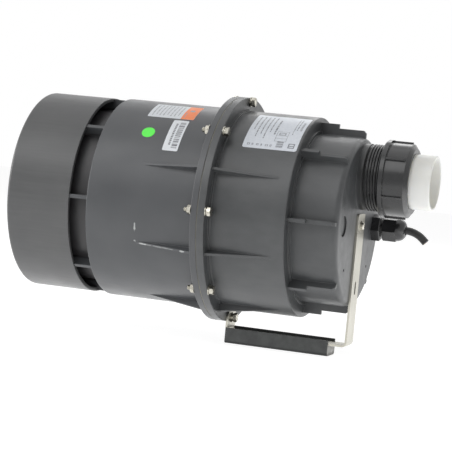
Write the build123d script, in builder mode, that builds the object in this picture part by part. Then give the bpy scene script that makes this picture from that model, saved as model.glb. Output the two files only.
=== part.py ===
"""Cylindrical two-stage air blower with a brush motor, outlet union, cable gland and strap bracket.

Millimetres, +Z up. The origin is the middle of the rubber foot's underside, and the blower's axis
runs along +X towards the outlet. Stations are distances along that axis from the flange seam, and
radii are taken from the axis, so that every piece is drawn from the same two numbers.
"""

import os
from math import cos, radians, sin, sqrt

from build123d import *

os.makedirs("parts", exist_ok=True)

# Running and seating clearances
fit_gap = 0.05  # between still pieces that seat in each other
seat_gap = 0.2  # between pieces of the union that part when it opens
race_gap = 0.3  # bearing ring to inner race

# Bracket and foot
strap_width = 25.0
strap_t = 2.0
strap_clearance = 8.0  # flange rim to the strap's upper face
strap_bend = 3.0
leg_to_neck = 4.0  # leg's top to the neck's base
leg_screw_inset = 11.4  # leg's top to its screw
leg_slot_drop = 63.0
leg_slot_length = 13.0
leg_slot_width = 5.2
tab_margin = 6.45  # bolt circle to the tab's top
foot_start = 8.0  # seam to the foot's near end
foot_length = 104.0
foot_width = 28.0
foot_floor = 10.5
foot_height = 15.2
foot_edge = 3.0
base_hole_r = 3.25
base_hole_spacing = 70.0

# Casings
wall = 3.5
flange_r = 110.0
flange_reach = 12.0  # casing wall to the flange's rim
flange_edge = 0.5
body_flange_t = 6.6
outlet_flange_t = 7.3
body_length = 116.0
outlet_step = 0.9  # the right casing is slimmer by this much
outlet_length = 81.4
hub_ring_reach = 1.4
hub_ring_t = 2.2
drum_step = 15.5  # right casing down to the drum
drum_length = 46.5
drum_edge = 5.5
drum_foot_reach = 2.9
drum_foot_t = 1.6
gusset_reach = 8.5
gusset_t = 2.4
body_gusset_length = 58.4
outlet_gusset_length = 62.7
rib_count = 8
gusset_first = 22.5  # degrees from +Y
bare_top = (60.0, 120.0)  # no gussets between these angles, where the labels sit
rib_t = 3.5
tall_rib_reach = 10.8
tall_rib_length = 17.6
low_rib_reach = 6.7
low_rib_length = 27.0
low_rib_edge = 5.0

# Intake
intake_gap = 18.5
cover_inset = 1.0  # the cover is slimmer than the body by this much
cover_length = 64.8
cover_edge = 3.0
tube_inset = 13.0  # body down to the intake tube
tube_wall = 3.0
tube_length = 62.0
inlet_r = 40.0
bridge_inset = 1.0  # how far the ribs lie below the cover's surface in the gap
cover_boss_r = 4.2
cover_screw_count = 4
cover_screw_r = 1.75
cover_screw_length = 16.0
cover_head_r = 3.6
cover_head_t = 2.4
foam_t = 16.0
foam_length = 58.0

# Flange fasteners, M5
bolt_margin = 4.05  # bolt circle to the flange's rim
bolt_count = 8
bolt_r = 2.5
bolt_hole_r = 2.75
bolt_length = 22.0
bolt_head_flats = 8.0
bolt_head_t = 3.5
nut_t = 4.0
washer_r = 5.0
washer_t = 1.0

# Flange seal
seal_reach = 1.4  # body radius to the seal
seal_width = 2.8
seal_depth = 1.8

# Outlet union
neck_inset = 37.0  # drum's side to the neck's axis
neck_bore_r = 24.0
neck_root_r = 30.6
neck_base_r = 32.0
neck_base_length = 5.6
neck_length = 34.1
union_seal_inner_r = 26.0
union_seal_width = 2.8
union_seal_depth = 1.7
tail_flange_r = 30.0
tail_flange_t = 5.0
tail_r = 26.4
tail_reach = 35.3  # neck's face to the tailpiece's open end
socket_r = 24.15
socket_depth = 28.0
tail_bore_r = 20.5
tail_rim = 1.0
nut_bore_r = 32.4
nut_lip_r = 26.8
nut_skirt = 13.2  # how far the nut reaches back over the neck
nut_collar_r = 37.6
nut_collar_length = 5.2
nut_body_r = 35.35
nut_body_length = 20.0
nut_nose_length = 3.2
nut_nose_r = 31.0
grip_rib_count = 6
grip_rib_reach = 1.7
grip_rib_t = 2.0

# Cable gland and cable
gland_inset = 21.6  # drum's side to the gland's axis
gland_drop = 5.5
gland_thread_r = 9.9
gland_bore_r = 5.2
gland_flats = 22.0
gland_collar_t = 8.5
gland_neck_t = 2.5
gland_neck_r = 9.0
gland_nut_length = 13.8
gland_dome_length = 8.3
gland_locknut_t = 5.0
gland_seal_length = 14.0
gland_seal_r = 7.4
gland_mouth_r = 4.6
cable_r = 3.8
cable_bend = 26.0
cable_droop = 43.0  # degrees
cable_tail = 4.0
knockout_drop = 2.0
knockout_r = 9.8
knockout_depth = 1.6
pilot_r = 1.7
pilot_inset = 19.6  # drum's side to the pilot holes
pilot_depth = 8.0
pilot_boss_r = 4.0

# Terminal block on the rear support
terminal_r = 2.6
terminal_well = 4.0
terminal_share = 0.28  # of the block's width, block's middle to its terminals
block_screw_share = 0.4  # of the block's length, block's middle to its screws
block_turn = 220.0  # degrees from +Y, the way the cable runs to the block
block_reach = 34.0  # gland axis to the block's end
block_length = 30.0
block_width = 22.0
block_t = 15.0
block_screw_r = 1.5
lead_r = 1.2

# Motor mounts
front_mount_t = 6.0
front_mount_depth = 16.0
front_mount_wall = 4.5
front_mount_eye_r = 50.0
socket_wall = 3.0
rear_mount_t = 5.0
rear_mount_cap = 3.5
rear_mount_grip = 9.0
support_cup_grip = 8.0
support_arm_start = 6.0
support_wall = 3.0
support_ring_width = 13.6
support_ring_t = 6.0
support_arm_t = 5.0
shelf_t = 3.0
shelf_width = 34.0

# Fan section
shell_r = 72.0
shell_t = 1.2
shell_length = 65.5
eye_r = 25.0
impeller_clearance = 12.0  # shell to the impellers
impeller_plate_t = 1.4
blade_height = 14.4
blade_count = 7
blade_t = 1.5
blade_curve_r = 45.0
blade_sweep = 52.0  # degrees
stage_vane_sweep = -40.0
rear_vane_sweep = -34.0
fan_nut_flats = 13.0
fan_nut_t = 6.0
hub_r = 9.0
hub_bore_gap = 0.02
fan_gap = 1.5  # turning plates to still plates
channel_turn = 6.0  # shell to the diffusers, where the air turns back
diffuser_hole_r = 10.0
vane_count = 8
vane_t = 1.5
vane_depth = 8.0
spacer_r = 7.0

# Motor
shaft_r = 4.0
shaft_core_r = 6.0
frame_r = 45.0
frame_wall = 4.0
frame_plate_t = 3.0
frame_hub_r = 15.0
frame_ring_t = 5.0
window_angle = 58.0
frame_to_stack = 21.0
stack_length = 38.0
stator_depth = 21.9  # frame's side to the stator's bore
stator_yoke = 7.0
pole_width = 24.0
pole_shoe_t = 3.9
pole_shoe_angle = 120.0
coil_t = 6.0
coil_depth = 5.0
coil_overhang = 8.0
air_gap = 0.6
slot_count = 12
slot_r = 3.2
slot_inset = 6.0
slot_mouth = 2.2
winding_inset = 2.5
winding_inner_r = 8.0
winding_overhang = 10.5
commutator_r = 11.0
commutator_length = 14.0
commutator_bars = 16
bar_gap = 0.8
riser_r = 13.0
riser_length = 2.0
bearing_r = 11.0
bearing_t = 7.0
race_r = 5.6
motor_screw_r = 2.0
motor_screw_edge = 3.5  # frame's side to the screws
plate_hole_r = 7.0
plate_hole_share = 0.6  # of the frame's radius
motor_screw_head_r = 3.4
brush_width = 6.0
brush_length = 10.0
brush_height = 24.0
brush_gap = 0.4
holder_wall = 1.4
holder_reach = 2.0  # beyond the frame
holder_tip_gap = 2.5
spring_r = 2.2
spring_wire_r = 0.5
spring_turns = 4

# Radii and places that follow from the sizes above; stations are measured from the flange seam
seam_x = -(foot_start + foot_length / 2)
body_r = flange_r - flange_reach
outlet_r = body_r - outlet_step
hub_ring_r = outlet_r + hub_ring_reach
drum_r = outlet_r - drum_step
drum_foot_r = drum_r + drum_foot_reach
tall_rib_r = drum_r + tall_rib_reach
low_rib_r = drum_r + low_rib_reach
cover_r = body_r - cover_inset
tube_r = body_r - tube_inset
bolt_circle_r = flange_r - bolt_margin
seal_inner_r = body_r + seal_reach
neck_offset = drum_r - neck_inset
gland_y = drum_r - gland_inset
pilot_circle_r = drum_r - pilot_inset
strap_drop = flange_r + strap_clearance
tab_drop = bolt_circle_r - tab_margin
leg_rise = neck_offset - neck_base_r - leg_to_neck
leg_screw_drop = leg_screw_inset - leg_rise
impeller_r = shell_r - impeller_clearance
diffuser_r = shell_r - channel_turn
stator_cavity_r = frame_r - stator_yoke
stator_bore_r = frame_r - stator_depth
pole_shoe_r = stator_bore_r + pole_shoe_t
armature_r = stator_bore_r - air_gap
slot_circle_r = armature_r - slot_inset
winding_r = armature_r - winding_inset
motor_screw_circle_r = frame_r - motor_screw_edge
holder_end = frame_r + holder_reach
axis_height = strap_drop + strap_t + foot_floor
body_rim = -body_length
cover_mouth = body_rim - intake_gap
cover_end = cover_mouth - cover_length
tube_mouth = body_rim - tube_length
bulkhead = body_rim + wall
shoulder = outlet_length
end_face = shoulder + drum_length
end_wall = end_face - wall
neck_end = end_face + neck_length
shell_front = bulkhead + front_mount_t
frame_plate = shell_front + shell_length
stack_front = frame_plate + frame_to_stack
stack_back = stack_front + stack_length
commutator_start = stack_back + winding_overhang + 1.5
commutator_middle = commutator_start + riser_length + (commutator_length - riser_length) / 2
rear_frame_disc = commutator_start + commutator_length + 1.0
rear_bearing_seat = rear_frame_disc + 4.0
hub_end = rear_bearing_seat + bearing_t + 3.0
cup_floor = hub_end + rear_mount_cap + fit_gap
support_seat = shoulder - wall
body_inner_r = body_r - wall
outlet_inner_r = outlet_r - wall
drum_inner_r = drum_r - wall
support_ring_r = outlet_inner_r - support_ring_width
cover_inner_r = cover_r - wall
boss_circle_r = cover_inner_r - cover_boss_r


def lengthwise(angle=90.0, y=0.0, z=0.0):
    """Plane through an axis along +X: local x is the station, local y points out at the angle."""
    a = radians(angle)
    return Plane(origin=(seam_x, y, axis_height + z), x_dir=(1, 0, 0), z_dir=(0, -sin(a), cos(a)))


def across(station, y=0.0, z=0.0):
    """Plane square to the axis at a station: local x is +Y and local y is +Z."""
    return Plane(origin=(seam_x + station, y, axis_height + z), x_dir=(0, 1, 0), z_dir=(1, 0, 0))


def turned(*outline, y=0.0, z=0.0, mode=Mode.ADD):
    """Turn a closed outline of (station, radius) points about an axis along +X."""
    with BuildSketch(lengthwise(y=y, z=z)) as profile:
        with BuildLine():
            Polyline(*outline, close=True)
        make_face()
    revolve(profile.sketch, axis=Axis((seam_x, y, axis_height + z), (1, 0, 0)), mode=mode)


def tube(start, end, outer, inner, y=0.0, z=0.0, mode=Mode.ADD):
    """A plain ring or tube between two stations."""
    turned((start, inner), (start, outer), (end, outer), (end, inner), y=y, z=z, mode=mode)


def rod(start, end, radius, y=0.0, z=0.0, mode=Mode.ADD):
    """A plain round bar between two stations."""
    tube(start, end, radius, 0.0, y=y, z=z, mode=mode)


def plates(outline, thickness, angles, mode=Mode.ADD):
    """Flat plates that stand out from the blower's axis, one at each angle."""
    with BuildSketch(*[lengthwise(angle) for angle in angles]) as profile:
        with BuildLine():
            Polyline(*outline, close=True)
        make_face()
    extrude(profile.sketch, amount=thickness / 2, both=True, mode=mode)


def polar(radius, count, first=0.0):
    """Round pattern of places about the axis."""
    return PolarLocations(radius, count, start_angle=first)


def spread(count, first=0.0):
    """Angles of an even round pattern."""
    return [first + 360.0 / count * step for step in range(count)]


def save(piece, name):
    """Label a finished piece and write it to its own file."""
    piece.part.label = name
    export_step(piece.part, f"parts/{name}.step")


# Left casing: body, flange, intake tube, bulkhead with the motor's socket
front_socket_r = shell_r + front_mount_wall
gusset_angles = [
    angle for angle in spread(rib_count, gusset_first) if not bare_top[0] < angle < bare_top[1]
]
with BuildPart() as motor_casing:
    turned(
        (tube_mouth, tube_r - tube_wall), (tube_mouth, tube_r), (body_rim, tube_r), (body_rim, body_r),
        (-body_flange_t, body_r), (-body_flange_t, flange_r - flange_edge),
        (flange_edge - body_flange_t, flange_r), (-flange_edge, flange_r), (0, flange_r - flange_edge),
        (0, body_inner_r),
        (bulkhead, body_inner_r), (bulkhead, front_socket_r + socket_wall),
        (bulkhead + front_mount_depth, front_socket_r + socket_wall),
        (bulkhead + front_mount_depth, front_socket_r), (bulkhead, front_socket_r),
        (bulkhead, inlet_r), (body_rim, inlet_r), (body_rim, tube_r - tube_wall),
    )
    rim_edges = motor_casing.edges().filter_by(GeomType.CIRCLE)
    rim_radii = [edge for edge in rim_edges if abs(edge.radius - body_r) < 0.01]
    fillet(ShapeList(rim_radii).sort_by(Axis.X)[0], radius=1.0)
    plates(
        [
            (-body_flange_t - body_gusset_length, body_r - 1), (-body_flange_t - body_gusset_length, body_r),
            (-body_flange_t, body_r + gusset_reach), (-body_flange_t, body_r - 1),
        ],
        gusset_t, gusset_angles,
    )
    plates(
        [
            (tube_mouth, tube_r - 1), (tube_mouth, cover_inner_r - fit_gap),
            (cover_mouth - fit_gap, cover_inner_r - fit_gap), (cover_mouth - fit_gap, cover_inner_r - 1),
            (cover_mouth + fit_gap, cover_inner_r - 1), (cover_mouth + fit_gap, cover_r - bridge_inset),
            (body_rim, cover_r - bridge_inset), (body_rim, tube_r - 1),
        ],
        rib_t, spread(rib_count),
    )
    with BuildSketch(across(cover_end + wall)):
        with polar(boss_circle_r, cover_screw_count, 45):
            Circle(cover_boss_r - fit_gap)
    extrude(amount=tube_mouth - cover_end)
    with BuildSketch(across(cover_end + wall)):
        with polar(boss_circle_r, cover_screw_count, 45):
            Circle(cover_screw_r)
    extrude(amount=cover_screw_length, mode=Mode.SUBTRACT)
    with BuildSketch(across(-body_flange_t)):
        with polar(bolt_circle_r, bolt_count):
            Circle(bolt_hole_r)
    extrude(amount=body_flange_t, mode=Mode.SUBTRACT)
save(motor_casing, "motor_casing")

# Cap over the intake tube
with BuildPart() as intake_cover:
    turned(
        (cover_end, 0), (cover_end, cover_r), (cover_mouth, cover_r), (cover_mouth, cover_inner_r),
        (cover_end + wall, cover_inner_r), (cover_end + wall, 0),
    )
    fillet(intake_cover.faces().sort_by(Axis.X)[0].outer_wire().edges(), radius=cover_edge)
    with BuildSketch(across(cover_end)):
        with polar(boss_circle_r, cover_screw_count, 45):
            Circle(cover_screw_r + fit_gap)
    extrude(amount=wall, mode=Mode.SUBTRACT)
save(intake_cover, "intake_cover")

with BuildPart() as cover_screws:
    with BuildSketch(across(cover_end - cover_head_t)):
        with polar(boss_circle_r, cover_screw_count, 45):
            Circle(cover_head_r)
    extrude(amount=cover_head_t)
    with BuildSketch(across(cover_end - cover_head_t)):
        with polar(boss_circle_r, cover_screw_count, 45):
            Circle(cover_screw_r - fit_gap)
    extrude(amount=cover_head_t + wall + cover_screw_length - 2)
    chamfer(cover_screws.faces().group_by(Axis.X)[0].edges(), length=0.8)
save(cover_screws, "cover_screws")

with BuildPart() as intake_foam:
    tube_inner_r = tube_r - tube_wall
    tube(body_rim - foam_length, body_rim, tube_inner_r - fit_gap, tube_inner_r - foam_t)
save(intake_foam, "intake_foam")

# Right casing: body, flange, shoulder, drum and outlet neck
with BuildPart() as outlet_casing:
    turned(
        (0, outlet_inner_r), (0, flange_r - flange_edge), (flange_edge, flange_r),
        (outlet_flange_t - flange_edge, flange_r), (outlet_flange_t, flange_r - flange_edge),
        (outlet_flange_t, hub_ring_r),
        (outlet_flange_t + hub_ring_t, hub_ring_r), (outlet_flange_t + hub_ring_t, outlet_r),
        (shoulder, outlet_r), (shoulder, drum_foot_r), (shoulder + drum_foot_t, drum_foot_r),
        (shoulder + drum_foot_t, drum_r), (end_face, drum_r), (end_face, 0), (end_wall, 0),
        (end_wall, drum_inner_r), (support_seat, drum_inner_r), (support_seat, outlet_inner_r),
    )
    fillet(outlet_casing.faces().sort_by(Axis.X)[-1].outer_wire().edges(), radius=drum_edge)
    shoulder_edges = [
        edge for edge in outlet_casing.edges().filter_by(GeomType.CIRCLE)
        if abs(edge.radius - outlet_r) < 0.01
    ]
    fillet(ShapeList(shoulder_edges).sort_by(Axis.X)[-1], radius=1.0)
    plates(
        [
            (outlet_flange_t, outlet_r - 1), (outlet_flange_t, outlet_r + gusset_reach),
            (outlet_flange_t + outlet_gusset_length, outlet_r),
            (outlet_flange_t + outlet_gusset_length, outlet_r - 1),
        ],
        gusset_t, gusset_angles,
    )
    plates(
        [
            (shoulder - 1, drum_r - 1), (shoulder - 1, tall_rib_r), (shoulder + tall_rib_length, tall_rib_r),
            (shoulder + tall_rib_length, drum_r - 1),
        ],
        rib_t, spread(rib_count),
    )
    low_end = shoulder + tall_rib_length + low_rib_length
    plates(
        [
            (shoulder + tall_rib_length - 1, drum_r - 1), (shoulder + tall_rib_length - 1, low_rib_r),
            (low_end - low_rib_edge / 2, low_rib_r), (low_end, low_rib_r - low_rib_edge / 2),
            (low_end, drum_r - drum_edge), (low_end - low_rib_edge, drum_r - drum_edge),
        ],
        rib_t, spread(rib_count),
    )
    rod(end_wall, neck_end, neck_root_r, z=neck_offset)
    rod(end_wall, end_face + neck_base_length, neck_base_r, z=neck_offset)
    rod(end_wall - 1, neck_end + 1, neck_bore_r, z=neck_offset, mode=Mode.SUBTRACT)
    tube(
        neck_end - union_seal_depth, neck_end + 1, union_seal_inner_r + union_seal_width, union_seal_inner_r,
        z=neck_offset, mode=Mode.SUBTRACT,
    )
    tube(0, seal_depth, seal_inner_r + seal_width, seal_inner_r, mode=Mode.SUBTRACT)
    with BuildSketch(across(0)):
        with polar(bolt_circle_r, bolt_count):
            Circle(bolt_hole_r)
    extrude(amount=outlet_flange_t, mode=Mode.SUBTRACT)
    # Bosses behind the end face for the bracket's screw and the two spare pilot holes
    pilot_angles = (225, 315)
    rod(end_face - pilot_depth - 2, end_face - 1, pilot_boss_r + 1, z=-leg_screw_drop)
    rod(end_face - pilot_depth, end_face, pilot_r + fit_gap, z=-leg_screw_drop, mode=Mode.SUBTRACT)
    with BuildSketch(across(end_face - pilot_depth - 2)):
        for angle in pilot_angles:
            with polar(pilot_circle_r, 1, angle):
                Circle(pilot_boss_r)
    extrude(amount=pilot_depth)
    with BuildSketch(across(end_face - pilot_depth)):
        for angle in pilot_angles:
            with polar(pilot_circle_r, 1, angle):
                Circle(pilot_r)
    extrude(amount=pilot_depth, mode=Mode.SUBTRACT)
    rod(end_wall - 1, end_face + 1, gland_thread_r + fit_gap, gland_y, -gland_drop, mode=Mode.SUBTRACT)
    rod(
        end_face - knockout_depth, end_face + 1, knockout_r, -gland_y, -knockout_drop, mode=Mode.SUBTRACT,
    )
save(outlet_casing, "outlet_casing")

with BuildPart() as casing_seal:
    tube(0, seal_depth, seal_inner_r + seal_width, seal_inner_r)
save(casing_seal, "casing_seal")

with BuildPart() as outlet_foam:
    tube(outlet_flange_t, support_seat - support_ring_t - 2, outlet_inner_r - fit_gap, outlet_inner_r - 9)
save(outlet_foam, "outlet_foam")

# Flange fasteners: the lowest one also holds the bracket's tab
flange_angles = spread(bolt_count)
bottom_angle = 270.0


def bolt_face(angle):
    """Station of the face that a bolt's outer washer bears on."""
    return outlet_flange_t + (strap_t if angle == bottom_angle else 0)


with BuildPart() as flange_bolts:
    for angle in flange_angles:
        seat = bolt_face(angle) + washer_t
        with BuildSketch(across(seat)):
            with polar(bolt_circle_r, 1, angle):
                RegularPolygon(bolt_head_flats / 2, 6, major_radius=False)
        extrude(amount=bolt_head_t)
        with BuildSketch(across(seat)):
            with polar(bolt_circle_r, 1, angle):
                Circle(bolt_r)
        extrude(amount=-bolt_length)
save(flange_bolts, "flange_bolts")

with BuildPart() as flange_washers:
    for angle in flange_angles:
        for face in (bolt_face(angle), -body_flange_t - washer_t):
            with BuildSketch(across(face)):
                with polar(bolt_circle_r, 1, angle):
                    Circle(washer_r)
                    Circle(bolt_r + fit_gap, mode=Mode.SUBTRACT)
            extrude(amount=washer_t)
save(flange_washers, "flange_washers")

with BuildPart() as flange_nuts:
    with BuildSketch(across(-body_flange_t - washer_t)):
        with polar(bolt_circle_r, bolt_count):
            RegularPolygon(bolt_head_flats / 2, 6, major_radius=False)
            Circle(bolt_r + fit_gap, mode=Mode.SUBTRACT)
    extrude(amount=-nut_t)
save(flange_nuts, "flange_nuts")

# Strap bracket: tab under the lowest bolt, base in the foot, leg up the end face
strap_outer = end_face + strap_t
tab_face = outlet_flange_t
with BuildPart() as mounting_bracket:
    with BuildSketch(lengthwise()) as strap_side:
        with BuildLine():
            Polyline(
                (tab_face, -tab_drop), (tab_face, -strap_drop - strap_t),
                (strap_outer, -strap_drop - strap_t),
                (strap_outer, leg_rise), (end_face, leg_rise), (end_face, -strap_drop),
                (tab_face + strap_t, -strap_drop), (tab_face + strap_t, -tab_drop), close=True,
            )
        make_face()
        fillet(strap_side.vertices().group_by(Axis.Y)[0], radius=strap_bend + strap_t)
        fillet(strap_side.vertices().group_by(Axis.Y)[1].sort_by(Axis.X), radius=strap_bend)
    extrude(amount=strap_width / 2, both=True)
    tab_corners = mounting_bracket.edges().filter_by(Axis.X).group_by(Axis.X)[0]
    fillet(tab_corners, radius=6.0)
    leg_corners = mounting_bracket.edges().filter_by(Axis.X).group_by(Axis.X)[-1].group_by(Axis.Z)[-1]
    fillet(leg_corners, radius=2.0)
    rod(tab_face - 1, tab_face + strap_t + 1, bolt_hole_r, z=-bolt_circle_r, mode=Mode.SUBTRACT)
    rod(end_face - 1, strap_outer + 1, pilot_r + 0.6, z=-leg_screw_drop, mode=Mode.SUBTRACT)
    with BuildSketch(across(end_face - 1, z=-leg_slot_drop)):
        SlotOverall(leg_slot_length, leg_slot_width, rotation=90)
    extrude(amount=strap_t + 2, mode=Mode.SUBTRACT)
    with BuildSketch(Plane.XY.offset(foot_floor - 1)):
        with GridLocations(base_hole_spacing, 1, 2, 1):
            Circle(base_hole_r)
    extrude(amount=strap_t + 2, mode=Mode.SUBTRACT)
save(mounting_bracket, "mounting_bracket")

with BuildPart() as bracket_screw:
    rod(
        end_face - pilot_depth + 1, strap_outer + washer_t + 0.1, pilot_r, z=-leg_screw_drop,
    )
    turned(
        (strap_outer + washer_t, 0), (strap_outer + washer_t, 4.0), (strap_outer + washer_t + 1.4, 3.8),
        (strap_outer + washer_t + 2.6, 2.4), (strap_outer + washer_t + 2.6, 0), z=-leg_screw_drop,
    )
save(bracket_screw, "bracket_screw")

with BuildPart() as bracket_washer:
    tube(strap_outer, strap_outer + washer_t, washer_r, pilot_r + fit_gap, z=-leg_screw_drop)
save(bracket_washer, "bracket_washer")

with BuildPart() as rubber_foot:
    with BuildSketch(Plane.YZ.offset(-foot_length / 2)):
        with Locations((0, foot_height / 2)):
            Rectangle(foot_width, foot_height)
        with Locations((0, foot_floor + foot_height / 2)):
            Rectangle(strap_width + 2 * fit_gap, foot_height, mode=Mode.SUBTRACT)
    extrude(amount=foot_length)
    fillet(rubber_foot.edges().filter_by(Axis.X).group_by(Axis.Z)[0], radius=foot_edge)
    with BuildSketch(Plane.XY):
        with GridLocations(base_hole_spacing, 1, 2, 1):
            Circle(base_hole_r)
    extrude(amount=foot_floor, mode=Mode.SUBTRACT)
save(rubber_foot, "rubber_foot")

# Outlet union: seal, tailpiece with a pipe socket, and the nut that draws it to the neck
with BuildPart() as union_seal:
    tube(
        neck_end - union_seal_depth, neck_end + seat_gap / 2, union_seal_inner_r + union_seal_width,
        union_seal_inner_r, z=neck_offset,
    )
save(union_seal, "union_seal")

tail_start = neck_end + seat_gap
tail_end = neck_end + tail_reach
with BuildPart() as tailpiece:
    turned(
        (tail_start, tail_bore_r), (tail_start, tail_flange_r), (tail_start + tail_flange_t, tail_flange_r),
        (tail_start + tail_flange_t, tail_r), (tail_end, tail_r), (tail_end, socket_r),
        (tail_end - socket_depth, socket_r), (tail_end - socket_depth, tail_bore_r), z=neck_offset,
    )
    fillet(tailpiece.faces().sort_by(Axis.X)[-1].outer_wire().edges(), radius=tail_rim)
save(tailpiece, "tailpiece")

nut_start = neck_end - nut_skirt
nut_step = nut_start + nut_collar_length
nut_shoulder = nut_step + nut_body_length
nut_front = nut_shoulder + nut_nose_length
lip_start = tail_start + tail_flange_t + race_gap
with BuildPart() as union_nut:
    turned(
        (nut_start, nut_bore_r), (nut_start, nut_collar_r - 1.2), (nut_start + 1.2, nut_collar_r),
        (nut_step, nut_collar_r), (nut_step, nut_body_r), (nut_shoulder, nut_body_r),
        (nut_front, nut_nose_r), (nut_front, nut_lip_r), (lip_start, nut_lip_r), (lip_start, nut_bore_r),
        z=neck_offset,
    )
    with BuildSketch(across(nut_step - 0.5, z=neck_offset)):
        with polar(nut_body_r, grip_rib_count, 27):
            Rectangle(2 * grip_rib_reach, grip_rib_t)
    extrude(amount=nut_body_length - 1.0)
save(union_nut, "union_nut")

# Cable gland: body through the end face, locknut inside, seal and domed nut outside
gland_z = -gland_drop
collar_end = end_face + gland_collar_t
gland_nut_start = collar_end + gland_neck_t
gland_nut_end = gland_nut_start + gland_nut_length
dome_end = gland_nut_end + gland_dome_length
gland_seat = gland_nut_start + 6.0
seal_end = gland_seat + gland_seal_length
with BuildPart() as gland_body:
    with BuildSketch(across(end_face, gland_y, gland_z)):
        RegularPolygon(gland_flats / 2 + 0.8, 6, major_radius=False, rotation=12)
    extrude(amount=gland_collar_t)
    chamfer(gland_body.faces().sort_by(Axis.X)[-1].edges(), length=0.8)
    rod(end_wall - gland_locknut_t - 1, end_face, gland_thread_r, gland_y, gland_z)
    rod(collar_end, gland_seat, gland_neck_r, gland_y, gland_z)
    rod(end_wall - gland_locknut_t - 2, gland_seat + 1, gland_bore_r, gland_y, gland_z, mode=Mode.SUBTRACT)
save(gland_body, "gland_body")

with BuildPart() as gland_locknut:
    with BuildSketch(across(end_wall, gland_y, gland_z)):
        RegularPolygon(gland_flats / 2 + 1, 6, major_radius=False)
        Circle(gland_thread_r + fit_gap, mode=Mode.SUBTRACT)
    extrude(amount=-gland_locknut_t)
save(gland_locknut, "gland_locknut")

with BuildPart() as gland_seal:
    tube(gland_seat, seal_end, gland_seal_r, cable_r + fit_gap, gland_y, gland_z)
save(gland_seal, "gland_seal")

with BuildPart() as gland_nut:
    with BuildSketch(across(gland_nut_start, gland_y, gland_z)):
        RegularPolygon(gland_flats / 2, 6, major_radius=False, rotation=12)
    extrude(amount=gland_nut_length + gland_dome_length)
    with BuildSketch(lengthwise(y=gland_y, z=gland_z)) as dome_side:
        with BuildLine():
            corner_r = gland_flats / sqrt(3)
            dome_r = gland_flats / 2 + 0.2
            Polyline(
                (dome_end, 0), (gland_nut_start, 0), (gland_nut_start, corner_r - 0.8),
                (gland_nut_start + 0.8, corner_r + 0.1), (gland_nut_end - 0.8, corner_r + 0.1),
                (gland_nut_end, dome_r),
            )
            ThreePointArc(
                (gland_nut_end, dome_r), (gland_nut_end + 0.68 * gland_dome_length, 0.83 * dome_r),
                (dome_end, 0.5 * dome_r),
            )
            Line((dome_end, 0.5 * dome_r), (dome_end, 0))
        make_face()
    revolve(
        dome_side.sketch, axis=Axis((seam_x, gland_y, axis_height + gland_z), (1, 0, 0)), mode=Mode.INTERSECT,
    )
    rod(gland_nut_start - 1, gland_seat, gland_neck_r + fit_gap, gland_y, gland_z, mode=Mode.SUBTRACT)
    rod(gland_seat - 0.1, seal_end, gland_seal_r + fit_gap, gland_y, gland_z, mode=Mode.SUBTRACT)
    rod(seal_end - 0.1, dome_end + 1, gland_mouth_r, gland_y, gland_z, mode=Mode.SUBTRACT)
save(gland_nut, "gland_nut")

# Cable: droops outside the gland, turns inside the drum to the end of the terminal block
block_middle = support_seat + block_t / 2
block_y = cos(radians(block_turn))
block_z = sin(radians(block_turn))
droop = radians(cable_droop)
droop_run = cable_bend * sin(droop) / (1 + cos(droop))


def spot(station, y, z):
    """A point given by its station and its place about the blower's axis."""
    return (seam_x + station, y, axis_height + z)


with BuildPart() as power_cable:
    with BuildLine() as cable_route:
        FilletPolyline(
            spot(
                dome_end + droop_run + (droop_run + cable_tail) * cos(droop), gland_y,
                gland_z - (droop_run + cable_tail) * sin(droop),
            ),
            spot(dome_end + droop_run, gland_y, gland_z),
            spot(block_middle, gland_y, gland_z),
            spot(block_middle, gland_y + block_reach * block_y, gland_z + block_reach * block_z),
            radius=[cable_bend, cable_bend - 1],
        )
    with BuildSketch(Plane(origin=cable_route.line @ 0, z_dir=cable_route.line % 0)):
        Circle(cable_r)
    sweep()
save(power_cable, "power_cable")

# Rear support: cup for the motor's rear mount, arms, ring against the shoulder, shelf for the block
block_centre = (
    gland_y + (block_reach + block_length / 2) * block_y,
    gland_z + (block_reach + block_length / 2) * block_z,
)
cup_r = frame_hub_r + rear_mount_t + 2 * fit_gap
with BuildPart() as rear_support:
    turned(
        (hub_end - support_cup_grip, cup_r), (hub_end - support_cup_grip, cup_r + support_wall),
        (support_seat, cup_r + support_wall),
        (support_seat, cup_r), (cup_floor + support_wall, cup_r), (cup_floor + support_wall, 0),
        (cup_floor, 0), (cup_floor, cup_r),
    )
    tube(support_seat - support_ring_t, support_seat, outlet_inner_r - fit_gap, support_ring_r)
    plates(
        [
            (hub_end - support_arm_start, cup_r + 1), (support_seat - support_ring_t, support_ring_r + 1),
            (support_seat, support_ring_r + 1), (support_seat, cup_r + 1),
        ],
        support_arm_t, spread(4),
    )
    shelf_angle = block_turn + 81
    with BuildSketch(across(support_seat - shelf_t)) as shelf:
        with polar((cup_r + support_ring_r) / 2 + 1, 1, shelf_angle):
            Rectangle(support_ring_r - cup_r, shelf_width)
        with Locations(block_centre):
            Rectangle(0.45 * block_length, 0.5 * block_width, rotation=block_turn, mode=Mode.SUBTRACT)
            with PolarLocations(block_screw_share * block_length, 2, start_angle=block_turn):
                Circle(block_screw_r, mode=Mode.SUBTRACT)
    extrude(amount=shelf_t)
save(rear_support, "rear_support")

with BuildPart() as rear_mount:
    mount_inner_r = frame_hub_r + fit_gap
    turned(
        (hub_end - rear_mount_grip, mount_inner_r), (hub_end - rear_mount_grip, cup_r - fit_gap),
        (hub_end + rear_mount_cap, cup_r - fit_gap),
        (hub_end + rear_mount_cap, 0), (hub_end, 0), (hub_end, mount_inner_r),
    )
save(rear_mount, "rear_mount")

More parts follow.
